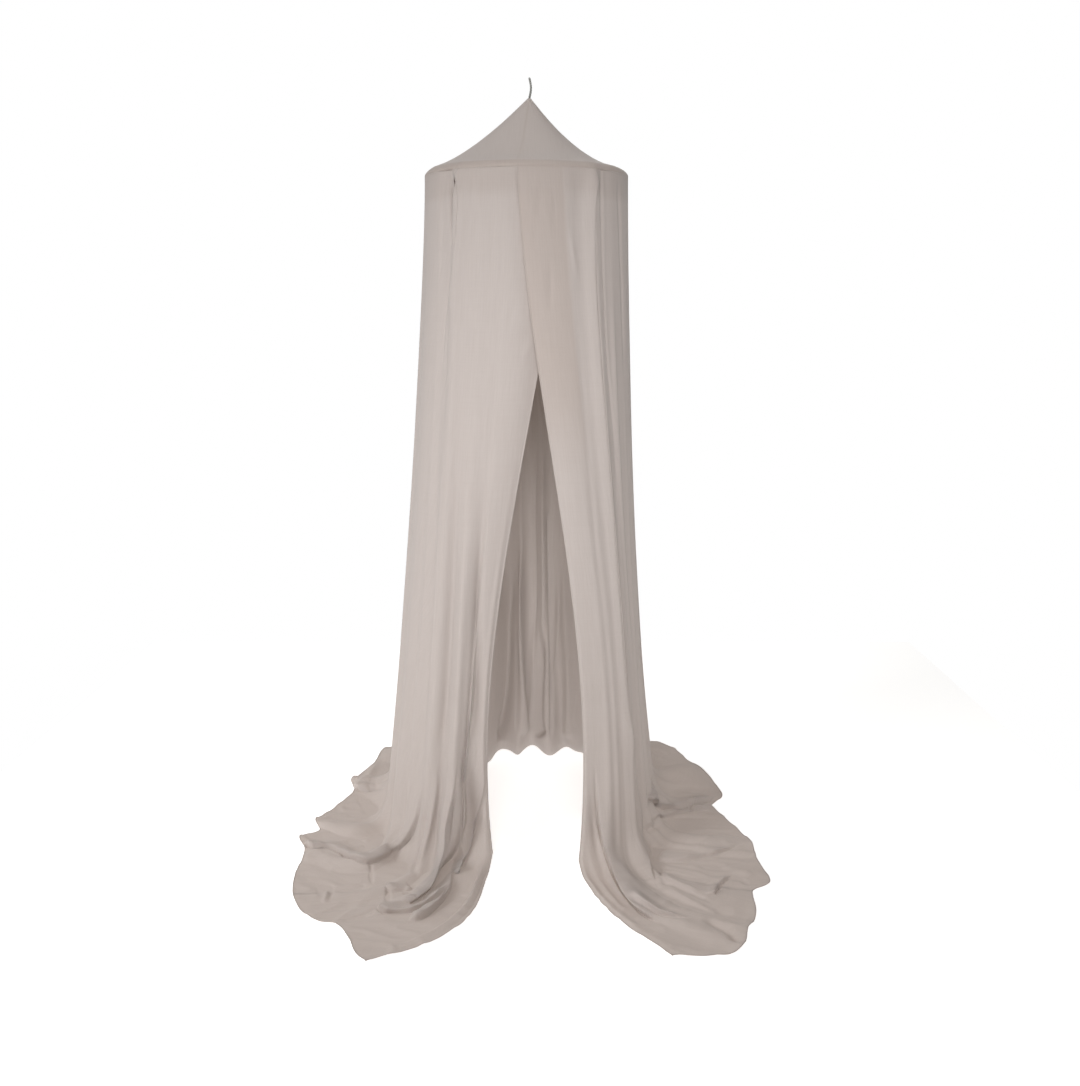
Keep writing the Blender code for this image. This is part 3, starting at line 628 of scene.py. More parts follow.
class FallSurface:
    """The smooth cloth through a grid of turns: hoop, foot, bend on the floor and hem."""

    floor_bend = 0.10            # length of the bend on each side of the foot
    side_bend_share = 0.8        # of the shorter length beside the bend on the floor
    flare_power = 1.35           # above 1 keeps the spread for the lower half of the drop
    bow_peak = 0.148             # largest value of the bow's own curve

    def __init__(self, turn: np.ndarray) -> None:
        """Read the fall lines at these turns, a grid of any shape."""
        radians = np.radians(turn)
        fall = {name: self.read(name, turn) for name in FallLine.__dataclass_fields__ if name != "turn"}
        floor = np.full_like(turn, FLOOR_CLEARANCE)
        top = np.full_like(turn, SEAM_HEIGHT - PIECE_GAP)
        self.hoop = np.stack([-HOOP_RADIUS * np.sin(radians), -HOOP_RADIUS * np.cos(radians), top], -1)
        foot, bend, hem = (np.stack([fall[f"{part}_x"], fall[f"{part}_y"], floor], -1)
                           for part in ("foot", "bend", "hem"))
        self.drop, self.drop_way = self.measure(self.hoop, foot)
        self.lie, self.lie_way = self.measure(foot, bend)
        self.tail, self.tail_way = self.measure(bend, hem)
        self.whole = self.drop + self.lie + self.tail
        self.side_bend = self.side_bend_share * np.minimum(self.lie, self.tail)
        self.bow = np.stack([fall["bow_x"], 0 * floor, 0 * floor], -1)
        self.spread = (foot - self.hoop) * (1.0, 1.0, 0.0)

    @staticmethod
    def read(column: str, turn: np.ndarray) -> np.ndarray:
        """Read one column of the fall lines at these turns, with a smooth cubic."""
        knots = np.array([line.turn for line in FALL_LINES], dtype=float)
        values = np.array([getattr(line, column) for line in FALL_LINES], dtype=float)
        slopes = np.gradient(values, knots)
        cell = np.clip(np.searchsorted(knots, turn, side="right") - 1, 0, len(knots) - 2)
        width = knots[cell + 1] - knots[cell]
        share = np.clip((turn - knots[cell]) / width, 0.0, 1.0)
        square, cube = share ** 2, share ** 3
        return ((2 * cube - 3 * square + 1) * values[cell]
                + (cube - 2 * square + share) * width * slopes[cell]
                + (3 * square - 2 * cube) * values[cell + 1]
                + (cube - square) * width * slopes[cell + 1])

    @staticmethod
    def measure(start: np.ndarray, end: np.ndarray) -> tuple[np.ndarray, np.ndarray]:
        """Return the lengths and the unit directions from start to end."""
        step = end - start
        return np.linalg.norm(step, axis=-1), unit(step)

    def points(self, length: np.ndarray) -> np.ndarray:
        """Return the smooth cloth's points at these lengths from the hoop."""
        over = soft_ramp(length - self.drop, self.floor_bend)[..., None]
        aside = soft_ramp(length - self.drop - self.lie, self.side_bend)[..., None]
        share = np.clip(length / self.drop, 0, 1)
        bow = (share ** 2 * (1 - share) / self.bow_peak)[..., None]
        flare = (share ** self.flare_power - share)[..., None]
        return (self.hoop + self.drop_way * length[..., None] + (self.lie_way - self.drop_way) * over
                + (self.tail_way - self.lie_way) * aside + self.bow * bow + self.spread * flare)

    def fold_height(self, turn: np.ndarray, length: np.ndarray) -> np.ndarray:
        """Return how far the folds stand out from the smooth cloth, in metres."""
        stations = (0 * self.drop, CHEST_SHARE * self.drop, KNEE_SHARE * self.drop, self.drop,
                    self.drop + FLOOR_REACH, self.whole)
        blends = [smooth_step((length - low) / (high - low)) for low, high in zip(stations, stations[1:])]
        height = np.zeros_like(turn)
        for fold in FOLDS:
            levels = (fold.hoop, fold.chest, fold.knee, fold.foot, fold.floor, fold.hem)
            along = np.full_like(turn, levels[0])
            for blend, low, high in zip(blends, levels, levels[1:]):
                along = along + (high - low) * blend
            after = fold.half_width_after or fold.half_width
            width = np.where(turn > fold.turn, after, fold.half_width)
            height = height + along * np.exp(-((turn - fold.turn) / width) ** 2)
        return height * MILLIMETRE


@dataclass(frozen=True)
class Crumple:
    """Shallow random creases of washed cloth that lies on the floor."""

    height_mm: float = 3.0
    shortest_mm: float = 60.0
    longest_mm: float = 150.0
    waves: int = 14
    seed: int = 5
    roundness: float = 0.03      # of each crease's crest, 0 is sharp
    start: float = 0.03          # past the foot
    run: float = 0.12            # over which they grow

    def height(self, points: np.ndarray) -> np.ndarray:
        """Return the creases' height at these points of the train, in metres."""
        chance = np.random.default_rng(self.seed)
        field_sum = np.zeros(points.shape[:-1])
        for _ in range(self.waves):
            way = chance.uniform(0, math.tau)
            pitch = chance.uniform(self.shortest_mm, self.longest_mm) * MILLIMETRE
            along = points[..., 0] * math.cos(way) + points[..., 1] * math.sin(way)
            field_sum += np.sin(along * math.tau / pitch + chance.uniform(0, math.tau))
        ridged = 1.0 - np.sqrt((field_sum / math.sqrt(self.waves)) ** 2 + self.roundness)
        return self.height_mm * MILLIMETRE * np.clip(ridged, 0.0, 1.0)


@dataclass
class Panel:
    """One cut piece of the skirt."""

    node: str
    first: float                 # turn of its first side
    last: float
    columns: int
    flat: tuple[float, float]    # width and length of the cloth that it was cut from
    area: float                  # of the cut, in square metres
    rows: int = 300
    crowding: float = 0.0        # how much closer the columns are in the crowds below
    hang_share: float = 0.36     # share of the rows above the bend at the floor
    bend_share: float = 0.56     # share of the rows above the bend's end
    lap_forward: float = 0.0     # turn from which the free edge lies in front of the other flap
    lap_back: float = 0.0        # turn up to which it is set back behind the other flap
    turn: np.ndarray = field(init=False)
    length: np.ndarray = field(init=False)
    points: np.ndarray = field(init=False)
    normals: np.ndarray = field(init=False)

    lap_top = 0.0024             # the right flap stands this far forward at the hoop
    lap_front = 0.0060           # and this far below it
    lap_behind = 0.0050          # the left flap is set back
    lap_run = 0.06               # length over which that changes
    lap_fade = 10.0              # degrees beside a flap over which it ends
    lap_low = 0.45               # length down to which the flaps lie on each other
    lap_end = 0.30               # further length over which they part
    lap_edge = 3.0               # degrees over which the lap begins
    seam_lift = 0.0009           # a front panel laps over the back one
    seam_flat = 0.75             # degrees of the lap, then of its slope
    seam_slope = 1.25
    probe_turn = 0.3             # steps to either side that give the smooth cloth's direction
    probe_length = 0.004
    probe_row = 12               # a row and column well inside the cloth, past what is turned in
    fine_turns = 2000            # steps for spacing the columns
    crowds = ((70.0, 32.0, 1.0), (290.0, 34.0, 1.0), (178.0, 14.0, 1.3))     # turn, half width, weight
    hem_rows = (0.02, 0.25, 0.6, 1.0)        # shares of the width that is turned in
    facing_rows = (0.01, 0.2, 0.5, 1.0)
    facing_share, hem_share, lap_share = 0.35, 0.10, 0.65    # strengths of the painted shade on two-layer cloth
    facing_fade_mm, hem_fade_mm, hem_slope_mm = 1.5, 2.0, 2.5

    def lay_out(self) -> None:
        """Work out the panel's grid and its points on the folds, before the creases."""
        turns = self.column_turns()
        runs = np.linspace(0.0, 1.0, self.rows + 1)
        self.turn = np.broadcast_to(turns, (self.rows + 1, self.columns + 1)).copy()
        smooth = FallSurface(self.turn)
        self.length = self.length_at(smooth, np.broadcast_to(runs[:, None], self.turn.shape))
        offset = smooth.fold_height(self.turn, self.length) + self.lap() + self.seam()
        self.points = smooth.points(self.length) + self.smooth_normals() * offset[..., None]
        self.keep_above_floor()
        crumple = Crumple()
        lying = smooth_step((self.length - smooth.drop - crumple.start) / crumple.run)
        self.points[..., 2] += crumple.height(self.points) * lying
        self.normals = self.grid_normals()

    def column_turns(self) -> np.ndarray:
        """Return the turns of the columns, closer together over the trains and the inner wall."""
        fine = np.linspace(self.first, self.last, self.fine_turns)
        crowd = 1.0 + self.crowding * sum(weight * np.exp(-((fine - turn) / width) ** 2)
                                          for turn, width, weight in self.crowds)
        share = np.concatenate([[0.0], np.cumsum((crowd[1:] + crowd[:-1]) / 2)])
        return np.interp(np.linspace(0, share[-1], self.columns + 1), share, fine)

    def length_at(self, smooth: FallSurface, run: np.ndarray) -> np.ndarray:
        """Return the length from the hoop for each row's share of the whole."""
        above, below = smooth.drop - smooth.floor_bend, smooth.drop + smooth.floor_bend
        hang = above * np.clip(run / self.hang_share, 0, 1)
        bend = (below - above) * np.clip((run - self.hang_share) / (self.bend_share - self.hang_share), 0, 1)
        lie = (smooth.whole - below) * np.clip((run - self.bend_share) / (1 - self.bend_share), 0, 1)
        return hang + bend + lie

    def lap(self) -> np.ndarray:
        """Return how far a front flap stands before or behind the other."""
        grow = smooth_step(self.length / self.lap_run)
        if self.lap_forward:
            share = smooth_step((self.turn - self.lap_forward) / self.lap_fade + 1.0)
            return share * (self.lap_top + (self.lap_front - self.lap_top) * grow)
        if self.lap_back:
            return -(1.0 - smooth_step((self.turn - self.lap_back) / self.lap_fade)) * self.lap_behind * grow
        return np.zeros_like(self.turn)

    def seam(self) -> np.ndarray:
        """Return how far a front panel stands proud where it laps over the back panel."""
        if self.lap_forward:
            inside = self.turn - self.first
        elif self.lap_back:
            inside = self.last - self.turn
        else:
            return np.zeros_like(self.turn)
        return self.seam_lift * (1.0 - smooth_step((inside - self.seam_flat) / self.seam_slope))

    def smooth_normals(self) -> np.ndarray:
        """Return the outward directions of the smooth cloth."""
        after = FallSurface(self.turn + self.probe_turn)
        before = FallSurface(self.turn - self.probe_turn)
        here = FallSurface(self.turn)
        across = after.points(self.length) - before.points(self.length)
        down = here.points(self.length + self.probe_length) - here.points(self.length - self.probe_length)
        return unit(np.cross(across, down))

    def grid_normals(self) -> np.ndarray:
        """Return the outward directions of the folded cloth."""
        across = np.gradient(self.points, axis=1)
        down = np.gradient(self.points, axis=0)
        return unit(np.cross(across, down))

    def keep_above_floor(self) -> None:
        """Let no point sink into the floor."""
        self.points[..., 2] = np.maximum(self.points[..., 2], FLOOR_CLEARANCE)

    def press(self, creases: list["TracedCrease"]) -> None:
        """Press the creases into the cloth.

        Args:
            creases: The creases with their paths on the cloth.
        """
        shape = self.points.shape
        flat_points, flat_normals = self.points.reshape(-1, 3), self.normals.reshape(-1, 3)
        moved = flat_points.copy()
        for crease in creases:
            crease.press(flat_points, flat_normals, moved)
        self.points = moved.reshape(shape)
        self.keep_above_floor()

    def cloth_map(self) -> np.ndarray:
        """Return where each point lies on the flat cloth, in metres."""
        reach = running_length(self.points, axis=1)
        middle = reach[:, [reach.shape[1] // 2]]
        return np.stack([reach - middle, -running_length(self.points)], -1)

    def fold_back(self, cloth: np.ndarray, two_layer_painted_shade: np.ndarray) -> np.ndarray:
        """Turn the hems and the top facing in behind the cloth, as more rows and columns of it.

        Args:
            cloth: Where each point lies on the flat cloth.
            two_layer_painted_shade: Share of painted shade on two-layer cloth at each point.

        Returns:
            Points, outward directions, flat places and shares of painted shade as one array of nine columns.
        """
        grid = np.concatenate([self.points, self.normals, cloth, two_layer_painted_shade[..., None]], -1)
        hem = np.array(self.hem_rows) * MUSLIN.hem_mm * MILLIMETRE
        facing = np.array(self.facing_rows) * MUSLIN.facing_mm * MILLIMETRE
        grid = self.turn_in(grid, hem, last=True)
        grid = self.turn_in(grid, facing, last=False)
        sideways = grid.transpose(1, 0, 2)
        if self.lap_back:
            sideways = self.turn_in(sideways, hem, last=False)
        if self.lap_forward:
            sideways = self.turn_in(sideways, hem, last=True)
        return sideways.transpose(1, 0, 2)

    @staticmethod
    def turn_in(grid: np.ndarray, distances: np.ndarray, last: bool) -> np.ndarray:
        """Return the grid with its first or last rows turned in behind it.

        Args:
            grid: Rows of points with their outward directions and other values.
            distances: How far from the fold each row turned in lies.
            last: Turn in past the last row and not before the first.

        Returns:
            The longer grid.
        """
        rows = grid[::-1] if last else grid
        run = running_length(rows[..., PLACE])
        column = np.arange(run.shape[1])
        turned = []
        for distance in distances:
            index = np.argmax(run > distance, axis=0).clip(1)
            low, high = run[index - 1, column], run[index, column]
            share = ((distance - low) / np.maximum(high - low, 1e-9))[:, None]
            row = rows[index - 1, column] * (1 - share) + rows[index, column] * share
            row[:, OUTWARD] = unit(row[:, OUTWARD])
            row[:, PLACE] -= row[:, OUTWARD] * MUSLIN.hem_gap_mm * MILLIMETRE
            row[:, FLAT] = 2 * rows[0, :, FLAT] - row[:, FLAT]
            turned.append(row)
        crisp = rows[0].copy()
        near = MUSLIN.hem_gap_mm * MILLIMETRE / np.maximum(run[1], 1e-9)
        crisp += (rows[1] - rows[0]) * np.minimum(near, 0.5)[:, None]
        whole = np.concatenate([np.array(turned)[::-1], rows[:1], crisp[None], rows[1:]])
        return whole[::-1] if last else whole

    def painted_shade_share(self, cloth: np.ndarray) -> np.ndarray:
        """Return the share of painted shade where the cloth is two layers thick, from 0 to 1."""
        past_facing = (self.length / MILLIMETRE - MUSLIN.facing_mm) / self.facing_fade_mm
        past_hem = (self.to_edge(cloth) / MILLIMETRE - MUSLIN.hem_mm) / self.hem_fade_mm
        share = np.maximum(self.facing_share * (1.0 - smooth_step(past_facing + 1.0)),
                           self.hem_share * (1.0 - smooth_step(past_hem + 1.0)))
        if self.lap_forward:
            over = smooth_step((self.turn - self.lap_forward) / self.lap_edge + 0.5)
            high = smooth_step((self.lap_low - self.length) / self.lap_end + 1.0)
            share = np.maximum(share, self.lap_share * over * high)
        return share

    def to_edge(self, cloth: np.ndarray) -> np.ndarray:
        """Return each point's distance to the bottom or the free edge, in metres of cloth."""
        bottom = cloth[..., 1] - cloth[-1:, :, 1]
        if self.lap_back:
            return np.minimum(bottom, cloth[..., 0] - cloth[:, :1, 0])
        if self.lap_forward:
            return np.minimum(bottom, cloth[:, -1:, 0] - cloth[..., 0])
        return bottom

    def raise_hems(self, cloth: np.ndarray) -> None:
        """Lift the folded hems a little proud of the cloth, with a crisp inner edge."""
        past = (self.to_edge(cloth) / MILLIMETRE - MUSLIN.hem_mm) / self.hem_slope_mm
        lift = 1.0 - smooth_step(past + 0.5)
        self.points = self.points + self.normals * (lift * MUSLIN.hem_lift_mm * MILLIMETRE)[..., None]
        self.keep_above_floor()

    def build(self, material: bpy.types.Material, origin: np.ndarray) -> bpy.types.Object:
        """Args:
            material: The muslin.
            origin: The floor point under the hoop's centre, in the model's frame.

        Returns:
            The finished piece.
        """
        self.normals = self.grid_normals()
        cloth = self.cloth_map()
        self.raise_hems(cloth)
        whole = self.fold_back(cloth, self.painted_shade_share(cloth))
        whole[..., 2] = np.maximum(whole[..., 2], LOWEST)
        piece = sheet_from_grid(f"{self.node}_cloth", whole[..., PLACE] + origin, whole[..., FLAT],
                                whole[..., PAINTED_SHADE], self.probe_row)
        apply_all(piece)
        dress(piece, material, "muslin", self.node)
        return piece


def sheet_from_grid(name: str, points: np.ndarray, cloth: np.ndarray, two_layer_painted_shade: np.ndarray,
                    probe: int) -> bpy.types.Object:
    """Lay a grid primitive on rows and columns of points.

    Args:
        name: The piece's name.
        points: Rows by columns of points.
        cloth: Where each point lies on the flat cloth, in metres.
        two_layer_painted_shade: Share of painted shade on two-layer cloth at each point.
        probe: A row and column that faces outwards.

    Returns:
        An open sheet whose faces point to the outside of the canopy.
    """
    rows, columns = points.shape[:2]
    deselect_all()
    bpy.ops.mesh.primitive_grid_add(x_subdivisions=columns - 1, y_subdivisions=rows - 1, size=2.0)
    piece = bpy.context.active_object
    piece.name = piece.data.name = name
    mesh = piece.data
    place = np.empty(len(mesh.vertices) * 3)
    mesh.vertices.foreach_get("co", place)
    place = place.reshape(-1, 3)
    column = np.rint((place[:, 0] + 1) / 2 * (columns - 1)).astype(int)
    row = np.rint((1 - place[:, 1]) / 2 * (rows - 1)).astype(int)
    mesh.vertices.foreach_set("co", points[row, column].ravel())
    # Painted shade of two-layer cloth, which the muslin reads
    layer = mesh.attributes.new("two_layer_painted_shade", "FLOAT", "POINT")
    layer.data.foreach_set("value", two_layer_painted_shade[row, column].ravel())
    corner = np.empty(len(mesh.loops), dtype=int)
    mesh.loops.foreach_get("vertex_index", corner)
    while mesh.uv_layers:
        mesh.uv_layers.remove(mesh.uv_layers[0])
    map_layer = mesh.uv_layers.new(name="cloth")
    map_layer.data.foreach_set("uv", cloth[row, column][corner].ravel())
    mesh.update()
    face_outwards(piece, points[probe:, probe:])
    mesh.shade_smooth()
    return piece


def face_outwards(piece: bpy.types.Object, points: np.ndarray) -> None:
    """Turn the sheet's faces over if its first one points against the grid's outward side."""
    down, across = points[1, 0] - points[0, 0], points[0, 1] - points[0, 0]
    outward = Vector(np.cross(across, down))
    middle = Vector(points[:2, :2].mean(axis=(0, 1)))
    nearest = min(piece.data.polygons, key=lambda face: (face.center - middle).length_squared)
    if nearest.normal.dot(outward) < 0:
        piece.data.flip_normals()


class Viewpoint:
    """The photograph's camera, over the floor point under the hoop's centre."""

    def __init__(self) -> None:
        """Work out the camera's place and axes."""
        pitch = math.radians(CAMERA_PITCH_DEG)
        self.place = np.array([CAMERA_SIDE, -CAMERA_DISTANCE, CAMERA_HEIGHT])
        self.forward = np.array([0.0, math.cos(pitch), -math.sin(pitch)])
        self.up = np.array([0.0, math.sin(pitch), math.cos(pitch)])

    def ray(self, pixel: np.ndarray) -> np.ndarray:
        """Return the direction from the camera through a pixel of the photograph."""
        right = (pixel[0] - PHOTO_WIDTH / 2) / FOCAL_PIXELS
        up = (PHOTO_HEIGHT / 2 - pixel[1]) / FOCAL_PIXELS
        return unit(self.forward + np.array([1.0, 0.0, 0.0]) * right + self.up * up)


@dataclass
class TracedCrease:
    """A crease with its path on the cloth."""

    crease: Crease
    path: np.ndarray
    outward: np.ndarray

    reach = 2.2              # widths from the path within which a crease acts
    steep = 0.0038           # width of a lip's steep side
    hollow_away = 1.6        # from a lip's path to the hollow in front of it, in steep widths
    hollow_width = 1.1       # in steep widths
    hollow_from = 0.6        # how squarely beside the path the hollow begins
    hollow_rise = 0.3        # and over how much it grows
    top_width = 2.5          # of a lip's top that rolls over, in steep widths
    undercut = 0.55          # depth of the hollow in front of a lip, in shares of its height
    overhang = 0.45          # sideways roll of a lip, in shares of its height
    least_facing = 0.1       # cloth that lies edge on to the crease keeps still

    def press(self, points: np.ndarray, normals: np.ndarray, moved: np.ndarray) -> None:
        """Move the points near the path.

        Args:
            points: The cloth's points before any crease, one a row.
            normals: Their outward directions.
            moved: The points that the creases move, changed in place.
        """
        width = self.crease.width_mm * MILLIMETRE
        reach = self.reach * width
        low, high = self.path.min(axis=0) - reach, self.path.max(axis=0) + reach
        near = np.flatnonzero(np.all((points > low) & (points < high), axis=1))
        if not len(near):
            return
        away, share, aside, across = self.nearest(points[near])
        facing = self.read_along(self.outward, share)
        keep = (away < reach) & (np.abs(np.einsum("ij,ij->i", normals[near], facing)) > self.least_facing)
        near, away, share, aside, across = near[keep], away[keep], share[keep], aside[keep], across[keep]
        height, roll = self.profile(away, aside, across)
        scale = self.strength(share)
        moved[near] += facing[keep] * (height * scale)[:, None] - self.left(share) * (roll * scale)[:, None]

    def strength(self, share: np.ndarray) -> np.ndarray:
        """Return the crease's height in metres at these shares of its path."""
        fade = smooth_step(share / self.crease.start) * smooth_step((1 - share) / self.crease.end)
        return self.crease.height_mm * MILLIMETRE * fade

    def read_along(self, values: np.ndarray, share: np.ndarray) -> np.ndarray:
        """Read directions that are given along the path at these shares of it."""
        stations = np.linspace(0, 1, len(values))
        return unit(np.stack([np.interp(share, stations, values[:, axis]) for axis in range(3)], -1))

    def nearest(self, points: np.ndarray) -> tuple[np.ndarray, np.ndarray, np.ndarray, np.ndarray]:
        """Find the path's nearest place to each point.

        Args:
            points: Points of the cloth.

        Returns:
            The distance, the share of the path, the distance with a minus to the right of the path,
            and how squarely the point lies to its side, from 0 to 1.
        """
        best = np.full(len(points), np.inf)
        share, aside, across = np.zeros(len(points)), np.zeros(len(points)), np.zeros(len(points))
        steps = np.diff(self.path, axis=0)
        for index, (start, step) in enumerate(zip(self.path, steps)):
            along = np.clip((points - start) @ step / max(step @ step, 1e-12), 0, 1)
            gap = points - start - along[:, None] * step
            away = np.linalg.norm(gap, axis=1)
            closer = away < best
            side = gap @ unit(np.cross(self.outward[index], step))
            best[closer] = away[closer]
            share[closer] = (index + along[closer]) / len(steps)
            aside[closer] = (np.sign(side) * away)[closer]
            across[closer] = (np.abs(side) / np.maximum(away, 1e-9))[closer]
        return best, share, aside, across

    def left(self, share: np.ndarray) -> np.ndarray:
        """Return the directions to the left of the path, along the cloth."""
        return self.read_along(np.cross(self.outward, unit(np.gradient(self.path, axis=0))), share)

    def crest(self) -> np.ndarray:
        """Return how far the crest at each point of the path stands from the cloth."""
        share = np.linspace(0, 1, len(self.path))
        height = self.strength(share)[:, None]
        if self.crease.kind is CreaseKind.TROUGH:
            return -self.outward * height
        if self.crease.kind is CreaseKind.RIDGE:
            return self.outward * height
        return self.outward * height - self.left(share) * self.overhang * height

    def profile(self, away: np.ndarray, aside: np.ndarray,
                across: np.ndarray) -> tuple[np.ndarray, np.ndarray]:
        """Return the crease's height and its sideways roll, both in shares of its height."""
        width = self.crease.width_mm * MILLIMETRE
        if self.crease.kind is CreaseKind.RIDGE:
            return np.exp(-(away / width) ** 2), np.zeros_like(away)
        if self.crease.kind is CreaseKind.TROUGH:
            return -np.exp(-(away / width) ** 2), np.zeros_like(away)
        lip = np.exp(-(away / np.where(aside > 0, width, self.steep)) ** 2)
        hollow = np.exp(-((aside + self.hollow_away * self.steep) / (self.hollow_width * self.steep)) ** 2)
        hollow *= smooth_step((across - self.hollow_from) / self.hollow_rise)
        top = np.exp(-(away / np.where(aside > 0, self.top_width * self.steep, self.steep)) ** 2)
        return lip - self.undercut * hollow, self.overhang * top


class CreaseTracer:
    """Finds each crease's path on the cloth that the photograph's camera sees."""

    steps_between = 4        # points of the path for each of its pixels
    rough_passes, rough_turns = 3, 12        # smoothing of the first path and its directions
    path_passes, path_turns = 4, 16          # and of the final ones
    odd_jump, odd_length = 6, 0.02           # a longer step than this is reported

    def __init__(self, panels: list[Panel]) -> None:
        """Index the cloths that the camera can see."""
        corners, faces = [], []
        for panel in panels:
            start = sum(len(part) for part in corners)
            rows, columns = panel.points.shape[:2]
            index = np.arange(rows * columns).reshape(rows, columns) + start
            cells = np.stack([index[:-1, :-1], index[1:, :-1], index[1:, 1:], index[:-1, 1:]], -1)
            corners.append(panel.points.reshape(-1, 3))
            faces.append(cells.reshape(-1, 4))
        self.tree = BVHTree.FromPolygons(np.concatenate(corners).tolist(), np.concatenate(faces).tolist())
        self.view = Viewpoint()

    def trace(self, crease: Crease) -> TracedCrease | None:
        """Lay a crease's path on the cloth.

        Args:
            crease: The crease.

        Returns:
            The traced crease, or None where too little of its path meets the cloth.
        """
        pixels = self.smooth_path(np.array(crease.path, dtype=float))
        rough, outward = self.cast(pixels, np.zeros((len(pixels), 3)))
        if len(rough) < len(pixels) or len(rough) < 3:
            LOG.warning("a crease at %s misses the cloth", crease.path[0])
            return None
        traced = TracedCrease(crease, smooth_line(rough, self.rough_passes),
                              unit(smooth_line(outward, self.rough_turns)))
        path, facing = self.cast(pixels, traced.crest())
        if len(path) < len(pixels):
            return traced
        jumps = np.linalg.norm(np.diff(path, axis=0), axis=1)
        if jumps.max() > self.odd_jump * np.median(jumps) + self.odd_length:
            LOG.warning("a crease at %s jumps by %.0f mm", crease.path[0], jumps.max() / MILLIMETRE)
        return TracedCrease(crease, smooth_line(path, self.path_passes),
                            unit(smooth_line(facing, self.path_turns)))

    def cast(self, pixels: np.ndarray, crest: np.ndarray) -> tuple[np.ndarray, np.ndarray]:
        """Find the places on the cloth whose crests lie on the pixels.

        Args:
            pixels: Points of the photograph.
            crest: How far the crest at each of them stands from the cloth.

        Returns:
            The places and their directions towards the camera, fewer where the cloth is missed.
        """
        places, outward = [], []
        for pixel, lift in zip(pixels, crest):
            start = self.view.place - lift
            place, normal, _, _ = self.tree.ray_cast(Vector(start), Vector(self.view.ray(pixel)))
            if place is None:
                continue
            normal = np.array(normal)
            towards = start - np.array(place)
            places.append(np.array(place))
            outward.append(normal if normal @ towards > 0 else -normal)
        return np.array(places), unit(np.array(outward)) if outward else np.array(outward)

    def smooth_path(self, pixels: np.ndarray) -> np.ndarray:
        """Return a smooth curve through the pixels."""
        before = np.concatenate([[2 * pixels[0] - pixels[1]], pixels, [2 * pixels[-1] - pixels[-2]]])
        share = np.linspace(0, 1, self.steps_between, endpoint=False)[:, None]
        curve = []
        for first, start, end, last in zip(before, before[1:], before[2:], before[3:]):
            curve.append(0.5 * (2 * start + (end - first) * share
                                + (2 * first - 5 * start + 4 * end - last) * share ** 2
                                + (3 * start - first - 3 * end + last) * share ** 3))
        return np.concatenate(curve + [pixels[-1:]])


